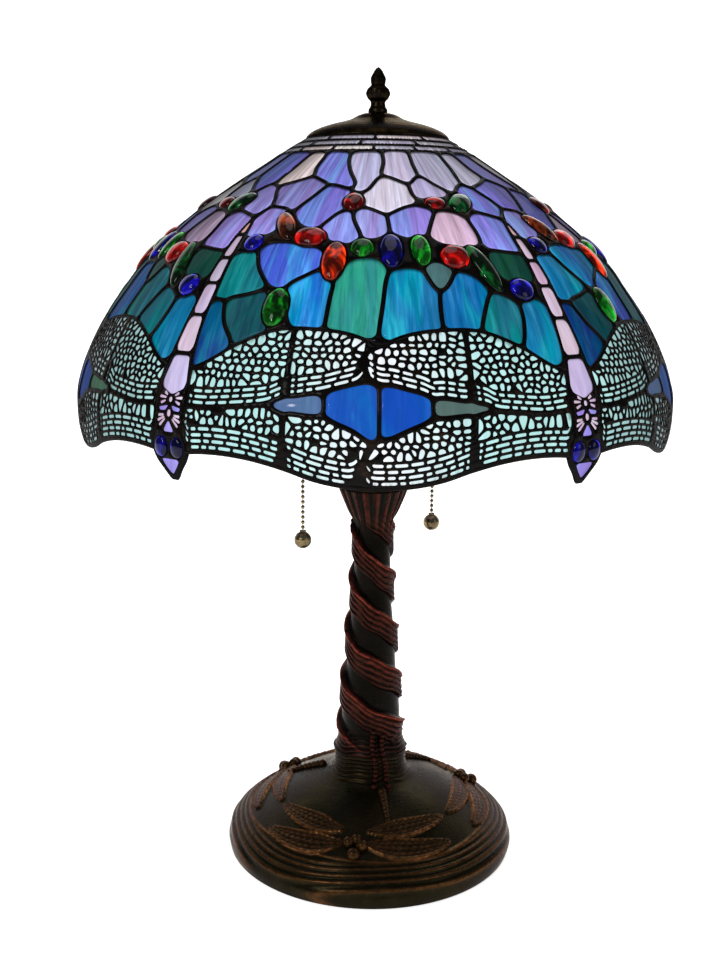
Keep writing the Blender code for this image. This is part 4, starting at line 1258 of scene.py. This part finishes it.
CAP_OUTLINE = [(12.4, 593.8), (15, 592.9), (18, 591.2), (20.5, 589.9), (24, 588.9), (28, 587.7), (33, 586.6),
               (38, 585.2), (44, 583.2), (48, 581.4), (51, 579.7), (53.4, 577.6), (54.2, 576.6)]
FINIAL_OUTLINE = [
    (0.4, 628), (1.6, 627.2), (3.0, 625.6), (4.6, 622.6), (5.9, 620), (5.6, 617), (5.2, 615.5), (5.6, 614.6),
    (8.0, 612.4), (8.8, 609.6), (8.8, 608.2), (7.8, 605.2), (5.7, 603.2), (5.4, 602.0), (5.8, 599.5),
    (6.2, 598.6), (7.2, 597.4), (7.3, 596.0), (7.2, 594.5)]


CAP_HOLE, CAP_SHEET, CAP_TOP = 3.4, 1.5, 594.2  # radius of its hole, thickness, height of its boss
FINIAL_BOTTOM, FINIAL_FOOT = 594.5, 7.0  # height and radius of the finial's lower end
BELT, TIP = 609, 620  # heights of the finial's beaded belt and of the facets under its point


def build_cap():
    shape = Shape()
    curve = resampled(CAP_OUTLINE, 0.7, closed=False)
    inner = curve[::-1] - np.array([0.0, CAP_SHEET])
    inner[:, 0] = np.maximum(inner[:, 0], CAP_HOLE)
    neck = [(CAP_HOLE, 592.3), (CAP_HOLE, CAP_TOP), (11.0, CAP_TOP)]
    lathe(shape, np.vstack([neck, curve, inner]), 128)
    shape.make("heat_cap", CAP_BRONZE, "shade", "bronze", ["vase_cap"])


def build_finial():
    """Turned knob: a beaded belt, a faceted tip."""
    shape = Shape()
    turn = circle(72)
    rows = [ring(FINIAL_FOOT, turn, FINIAL_BOTTOM)]
    for r, z in resampled(FINIAL_OUTLINE, 0.45, closed=False)[-2::-1]:
        belt = math.exp(-((z - BELT) / 2.4) ** 2)
        tip = math.exp(-((z - TIP) / 3.2) ** 2)
        wide = r * (1 + 0.05 * belt * np.cos(18 * turn) - 0.05 * tip * np.abs(np.sin(3 * turn)))
        rows.append(ring(wide, turn, z))
    capped(shape, rows)
    shape.make("finial_knob", CAP_BRONZE, "finial", "bronze", ["finial"])


# ---------------------------------------------------------------- trunk and base

TRUNK_BOTTOM, TRUNK_TOP, TRUNK_WALL = 84.3, 306.0, 5.0
# the trunk's plain profile: height, radius
STEM = [(TRUNK_BOTTOM, 29.8), (91, 26.6), (100, 25.6), (112, 26.2), (125, 25.4), (138, 24), (150, 22.6),
        (165, 21.6), (180, 20.3), (197, 19.2), (210, 17.8), (222, 16.6), (240, 16.8), (255, 16.1),
        (268, 15.4), (276, 16.0), (284, 19.2), (292, 22.5), (300, 25.8), (TRUNK_TOP, 28.0)]
TWIST_STARTS, TWIST_PITCH = 2, 84.0
BAND_EXTRA = 0.5054  # how much wider than the gap between bands a band is, in radians of the twist
STRANDS = 5
FLUTES = 22


def fade(value, low, high):
    t = np.clip((value - low) / (high - low), 0, 1)
    return t * t * (3 - 2 * t)


def bark_ring(angle, height):
    """Wavering rings round the trunk's foot and the neck it stands on, -1 to 1."""
    return np.cos(2 * math.pi * (height + 2.0 * np.sin(angle * 2 + 0.6) + 0.7 * np.sin(7 * angle)) / 3.4)


def trunk_relief(angle, height):
    """How far the casting stands out from its plain profile, how much it is rubbed, and how low it lies."""
    phase = TWIST_STARTS * angle + 2 * math.pi * TWIST_STARTS * height / TWIST_PITCH
    wander = 0.12 * np.sin(3 * angle + height / 21) + 0.09 * np.sin(5 * angle - height / 13)
    phase = np.mod(phase + wander + BAND_EXTRA / 2, 2 * math.pi)
    across = phase / (math.pi + BAND_EXTRA)  # 0 to 1 across the band of strands, 1 at its upper edge
    band = fade(phase, 0.0, 0.35) * (1 - fade(phase, math.pi + 0.25, math.pi + 0.60))
    ripple = across * STRANDS + 0.14 * np.sin(5 * angle + height / 9) + 0.04 * np.sin(17 * angle)
    strand = np.abs(2 * np.mod(ripple, 1) - 1)
    groove = strand ** 3
    thread = 0.5 + 0.5 * np.cos(2 * math.pi * ripple * 2)
    top_strand = np.exp(-((across - 0.90) / 0.09) ** 2)
    strands = 1.2 + 1.0 * across - 1.25 * groove - 0.25 * thread + 1.3 * top_strand
    twisted = band * strands - (1 - band) * 2.1
    body = fade(height, 86, 100) * (1 - fade(height, 268, 290))
    flute = (np.cos(FLUTES * angle + 2.5 * np.sin(2 * angle) + height / 40)
             + 0.5 * np.cos(41 * angle + 1.7 * np.sin(3 * angle)))
    mouth = fade(height, 264, 288)
    collar = 1 - fade(height, 88, 108)
    bark = bark_ring(angle, height)
    relief = body * twisted + mouth * 0.62 * flute + collar * 0.6 * bark
    wear = (body * band * (1 - groove) * (0.13 + 0.26 * across + 0.75 * top_strand)
            + mouth * np.clip(flute, 0, 1) * 0.30 + collar * np.clip(bark, 0, 1) * 0.22)
    low = body * (1 - band) * 0.85 + body * band * groove * 0.95 + mouth * np.clip(-flute, 0, 1) * 0.9
    low = low + collar * np.clip(-bark, 0, 1) * 0.85
    return relief, np.clip(wear, 0, 1), np.clip(low, 0, 1)


def tints_of(wear, low):
    """The bronze's tint for one ring of points."""
    return np.stack([wear, low, np.zeros(len(wear)), np.ones(len(wear))], -1)


def dull(steps):
    """The tint of a ring inside a casting."""
    return tints_of(np.zeros(steps), np.ones(steps))


def build_trunk():
    shape = Shape()
    radius = smooth_curve(STEM)
    heights = np.arange(TRUNK_BOTTOM, TRUNK_TOP + 0.01, 0.8)
    steps = 300
    angle = np.linspace(-math.pi, math.pi, steps, endpoint=False)
    rows, tints = [], []
    for z in heights:
        relief, wear, low = trunk_relief(angle, z)
        rows.append(ring(float(radius(z)) + relief * min(1.0, (z - TRUNK_BOTTOM) / 3), angle, z))
        tints.append(tints_of(wear, low))
    for z in [*heights[::-12], TRUNK_BOTTOM]:
        rows.append(ring(radius(z) - TRUNK_WALL, angle, z))
        tints.append(dull(steps))
    shape.add(np.vstack(rows), wrapped_faces(len(rows), steps), np.vstack(tints))
    shape.make("trunk", TRUNK_BRONZE, "lamp", "bronze", ["stem_casting"])


# the foot's outer face and its hollow: radius, height
BASE_OUTLINE = [(30.5, 84), (29.6, 80), (29.2, 75), (29.3, 70), (30.4, 66), (33.2, 62.6), (38.5, 59.9),
                (46, 57.4), (56, 53.7), (66, 49.3), (82, 40.4), (97, 31.5), (104, 27.2), (109.5, 23.2),
                (114, 19.0), (117, 15), (118.7, 10.5), (119, 6.5), (118.2, 1.4)]
BASE_HOLLOW = [(27.0, 84), (26.4, 70), (28, 60), (42, 53.5), (64, 44), (95, 27), (112, 12), (114.5, 1.4)]
# the wings on one side of each relief dragonfly: angles of root and tip from its head, radii of root and tip,
# bow, half-width
WING_LEAVES = ((5, 50, 87, 95.0, 1.5, 9.2), (6, 58, 77, 76.5, -1.0, 7.8))
# its head: angle from the middle, radius on the foot, size of each ball
HEAD_BALLS = ((-3.2, 86.5, 4.6), (3.6, 88.5, 4.8), (0.0, 95.5, 5.2), (0.6, 84.0, 4.4))
HEADS = (-8, 112, 232)  # where the three dragonflies' heads point, in degrees from the front towards +X


def leaf(turn, r, start, end, r0, r1, bow, wide):
    """How far inside a long wing that follows the rim a point is: (inside, share along, across -1 to 1)."""
    t = (turn - start) / (end - start)
    mid = r0 + (r1 - r0) * t + bow * np.sin(math.pi * np.clip(t, 0, 1))
    tc = np.clip(t, 1e-4, 1 - 1e-4)
    half = wide * np.sin(math.pi * tc ** 0.62) ** 0.55 * (0.35 + 0.65 * np.clip(t * 3, 0, 1))
    q = (r - mid) / np.maximum(half, 0.05)
    return (t > 0) & (t < 1) & (np.abs(q) < 1), t, q


def base_relief(angle, r):
    """The foot's relief, wear and lowness at angles (radians from the front towards +X) and a radius."""
    relief, wear, low = np.zeros_like(angle), np.zeros_like(angle), np.zeros_like(angle)
    wave = np.sin(2 * math.pi * (r + 1.6 * np.sin(3 * angle + 0.4) + 0.9 * np.sin(5 * angle + 2)) / 3.9)
    rim = fade(r, 99, 104) * (1 - 0.35 * fade(r, 116, 119))
    relief += rim * (0.55 * wave + 0.6)
    wear += rim * np.clip(wave, 0, 1) ** 2 * 0.65
    low += rim * np.clip(-wave, 0, 1) * 0.45
    line = np.exp(-((r - 99.5 - 1.5 * np.sin(3 * angle)) / 1.0) ** 2)
    relief += line * 0.8
    wear += line * 0.6
    for head in HEADS:
        d = np.mod(angle - math.radians(head) + math.pi, 2 * math.pi) - math.pi
        for side in (-1, 1):
            spread = np.degrees(d) * side
            for wing in WING_LEAVES:
                within, t, q = leaf(spread, r, *wing)
                edge = np.exp(-((np.abs(q) - 0.86) / 0.13) ** 2)
                vein = np.exp(-(q / 0.10) ** 2) + np.exp(-((np.abs(q) - 0.45) / 0.09) ** 2)
                net = np.sin(2 * math.pi * t * 13 + 2.2 * np.sign(q)) * np.sin(2 * math.pi * q * 1.6)
                net = net * 0.5 + 0.5
                up = 1.3 + 1.5 * edge + 0.35 * vein + 0.5 * net
                sides = np.clip((1 - np.abs(q)) * 7, 0, 1)
                relief = np.where(within, np.maximum(relief, up * sides), relief)
                wear = np.where(within, 1.0 * edge + 0.35 * vein + 0.34 * net, wear)
                low = np.where(within, 0.55 * (1 - np.clip(edge + vein + net * 0.7, 0, 1)), low)
    return relief, np.clip(wear, 0, 1), np.clip(low, 0, 1)


def base_point(angle, r):
    """A point on the foot's plain dome, and its outward normal, at an angle in degrees and radius."""
    outline = np.array(BASE_OUTLINE)[:-1]
    z, beyond = np.interp([r, r + 0.5], outline[:, 0], outline[:, 1])
    a = math.radians(angle)
    slope = (beyond - z) / 0.5
    n = np.array([-slope * math.sin(a), slope * math.cos(a), 1.0])
    return np.array([r * math.sin(a), -r * math.cos(a), z]), n / np.linalg.norm(n)


def front_ring(radius, angle, height):
    """Points round the lamp's axis at angles from the front towards +X."""
    height = np.broadcast_to(height, len(angle))
    return np.stack([radius * np.sin(angle), -radius * np.cos(angle), height], -1)


def build_base():
    shape = Shape()
    outline = resampled(rounded_open(BASE_OUTLINE, 3), 0.9, closed=False)[::-1]  # up from its bottom edge
    direction = np.gradient(outline, axis=0)
    direction /= np.hypot(*direction.T)[:, None]
    normal = np.stack([direction[:, 1], -direction[:, 0]], -1)
    steps = 420
    angle = np.linspace(-math.pi, math.pi, steps, endpoint=False)
    rows, tints = [], []
    for (r, z), (nr, nz) in zip(outline, normal):
        relief, wear, low = base_relief(angle, np.full(steps, r))
        neck = fade(z, 60, 66)
        bark = bark_ring(angle - math.pi / 2, z)
        relief = relief * fade(z, 1.4, 8) * fade(r, 31, 40) + neck * 0.6 * bark
        wear = wear + neck * np.clip(bark, 0, 1) * 0.16
        low = low + neck * (0.35 + 0.5 * np.clip(-bark, 0, 1))
        rows.append(front_ring(r + relief * nr, angle, z + relief * nz))
        tints.append(tints_of(wear, low))
    for r, z in BASE_HOLLOW:
        rows.append(front_ring(r, angle, z))
        tints.append(dull(steps))
    shape.add(np.vstack(rows), wrapped_faces(len(rows), steps), np.vstack(tints))
    shape.make("base_dome", BASE_BRONZE, "lamp", "bronze", ["base_casting"])


def rounded_open(points, times):
    """Corners cut off an open line."""
    p = np.asarray(points, float)
    for _ in range(times):
        mid = np.stack([0.75 * p[:-1] + 0.25 * p[1:], 0.25 * p[:-1] + 0.75 * p[1:]], 1).reshape(-1, 2)
        p = np.vstack([p[:1], mid, p[-1:]])
    return p


def build_base_details():
    """Heads and beaded tails of the three relief dragonflies."""
    shape = Shape()
    for head in HEADS:
        for turn, r, size in HEAD_BALLS:
            at, normal = base_point(head + turn, r)
            ball(shape, at + normal * size * 0.45, size, 20, (0.35, 0.1, 0, 1))
        for i in range(9):
            at, normal = base_point(head + 21.0 - i * 0.25, 42 + i * 3.9)
            ball(shape, at + normal * 0.9, 3.5 - 0.17 * i, 14, (0.28, 0.2, 0, 1))
    shape.make("base_beads", BASE_BRONZE, "lamp", "bronze", ["base_casting"])


NECK = [(60, 38.5), (66, 30.4), (75, 29.2), (84, 30.5)]  # the neck under the trunk: height, radius


def build_trunk_beads():
    """Two strings of beads down the trunk's foot and the neck under it."""
    shape = Shape()
    trunk, neck = smooth_curve(STEM), np.array(NECK)
    for lean, start in ((5.0, 62.0), (21.5, 58.0)):
        for i in range(13):
            z = start + 3.6 * i
            r = 1.0 + (float(trunk(z)) if z > 85 else float(np.interp(z, neck[:, 0], neck[:, 1])))
            a = math.radians(lean + 3.0 * math.sin(i * 0.5))
            ball(shape, (r * math.sin(a), -r * math.cos(a), z), 2.6 - 0.05 * i, 14, (0.22, 0.2, 0, 1))
    shape.make("trunk_beads", TRUNK_BRONZE, "lamp", "bronze", ["stem_casting"])


# ---------------------------------------------------------------- chains

BEAD_PITCH, BEAD_RADIUS, LINK_RADIUS = 4.1, 1.6, 0.35


def build_chain(side):
    """Beads on a thin link, from the top of the chain's CAD rod to its bottom."""
    name = "pull_chain_" + side
    low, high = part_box(name)
    middle = ((low.x + high.x) / 2 / MM, (low.y + high.y) / 2 / MM)
    top, bottom = high.z / MM, low.z / MM
    chain = Shape()
    count = round((top - bottom) / BEAD_PITCH)
    for i in range(count):
        ball(chain, (*middle, top - (i + 0.5) * (top - bottom) / count), BEAD_RADIUS)
    capped(chain, [ring(LINK_RADIUS, circle(8), z, middle) for z in np.linspace(bottom + 0.4, top - 0.4, 6)])
    chain.make("bead_chain_" + side, ANTIQUE, name, "antique_brass", [name])


def build_pull_knob(side):
    """The ball at the chain's end, with a seam round its middle and a neck."""
    low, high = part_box("pull_ball_" + side)
    centre, radius, top = (low + high) / 2 / MM, (high.x - low.x) / 2 / MM, high.z / MM
    outline = []
    for lat in np.linspace(-86, 86, 40):
        a = math.radians(lat)
        seam = 1 - 0.035 * math.exp(-(lat / 3.0) ** 2)
        outline.append((radius * math.cos(a) * seam, centre.z + radius * math.sin(a)))
    outline = [(r, z) for r, z in outline if z < top - 1.4 or r > 3.2]
    outline += [(2.6, outline[-1][1] + 0.2), (2.6, top - 0.4), (2.2, top)]
    knob = Shape()
    capped(knob, [ring(r, circle(40), z, (centre.x, centre.y)) for r, z in outline])
    knob.make("pull_knob_" + side, ANTIQUE, "pull_chain_" + side, "antique_brass", ["pull_ball_" + side])


# ---------------------------------------------------------------- studio

def area_light(name, place, target, size, power):
    light = bpy.data.lights.new(name, "AREA")
    light.shape, light.size, light.energy = "DISK", size, power
    thing = bpy.data.objects.new(name, light)
    thing.location = place
    thing.rotation_euler = (Vector(target) - Vector(place)).to_track_quat("-Z", "Y").to_euler()
    bpy.context.scene.collection.objects.link(thing)


def build_floor():
    """A pale floor that bends up into a wall behind the lamp; in metres."""
    mesh = bpy.data.meshes.new("floor")
    reach, back, tall, bend = 4.0, 2.2, 4.0, 0.8
    quarter = np.linspace(0, math.pi / 2, 12)
    rows = [(-reach, 0.0)] + [(back - bend + bend * math.sin(t), bend - bend * math.cos(t)) for t in quarter]
    rows.append((back, tall))
    verts = [(x, y, z) for y, z in rows for x in (-reach, reach)]
    faces = [(2 * i, 2 * i + 1, 2 * i + 3, 2 * i + 2) for i in range(len(rows) - 1)]
    mesh.from_pydata(verts, [], faces)
    mesh.shade_smooth()
    material, _, _, shader = new_material("pale_floor")
    shader.inputs["Base Color"].default_value = (0.92, 0.92, 0.92, 1)
    shader.inputs["Roughness"].default_value = 0.9
    shader.inputs["Emission Color"].default_value = (1, 1, 1, 1)
    shader.inputs["Emission Strength"].default_value = 0.80
    mesh.materials.append(material)
    floor = bpy.data.objects.new("floor", mesh)
    bpy.context.scene.collection.objects.link(floor)


def build_lights():
    """Soft light from the front and above, and a small light for the glints; in metres and watts."""
    area_light("key", (-1.5, -1.7, 1.9), (0, 0, 0.3), 0.9, 13)
    area_light("glint", (-0.9, -1.5, 1.1), (0, 0, 0.2), 0.10, 4.0)
    area_light("fill", (1.9, -1.4, 1.1), (0, 0, 0.3), 1.2, 6)
    area_light("top", (0, 0.3, 2.6), (0, 0, 0.3), 1.6, 8)
    area_light("back", (0.4, 1.4, 1.7), (0, 0.2, 0.4), 1.2, 6)
    world = bpy.data.worlds.new("studio")
    world.use_nodes = True
    world.node_tree.nodes["Background"].inputs[0].default_value = (1, 1, 1, 1)
    world.node_tree.nodes["Background"].inputs[1].default_value = 0.14
    bpy.context.scene.world = world


def build_camera():
    """A view a little from above that takes in the whole lamp; in metres."""
    camera = bpy.data.cameras.new("camera")
    camera.lens, camera.sensor_width = 44.94, 36
    thing = bpy.data.objects.new("camera", camera)
    thing.location = (-0.0127, -0.9458, 0.5064)
    thing.rotation_euler = (math.radians(78.31), math.radians(-0.55), 0)
    bpy.context.scene.collection.objects.link(thing)
    bpy.context.scene.camera = thing


build_mosaic()
build_wings()
build_dragonflies()
build_rim()
build_crown()
build_cap()
build_finial()
build_trunk()
build_base()
build_base_details()
build_trunk_beads()
for _side in ("right", "left"):
    build_chain(_side)
    build_pull_knob(_side)
finish_cad_nodes()
build_floor()
build_lights()
build_camera()
bpy.context.scene.view_settings.view_transform = "Standard"
bpy.context.view_layer.update()
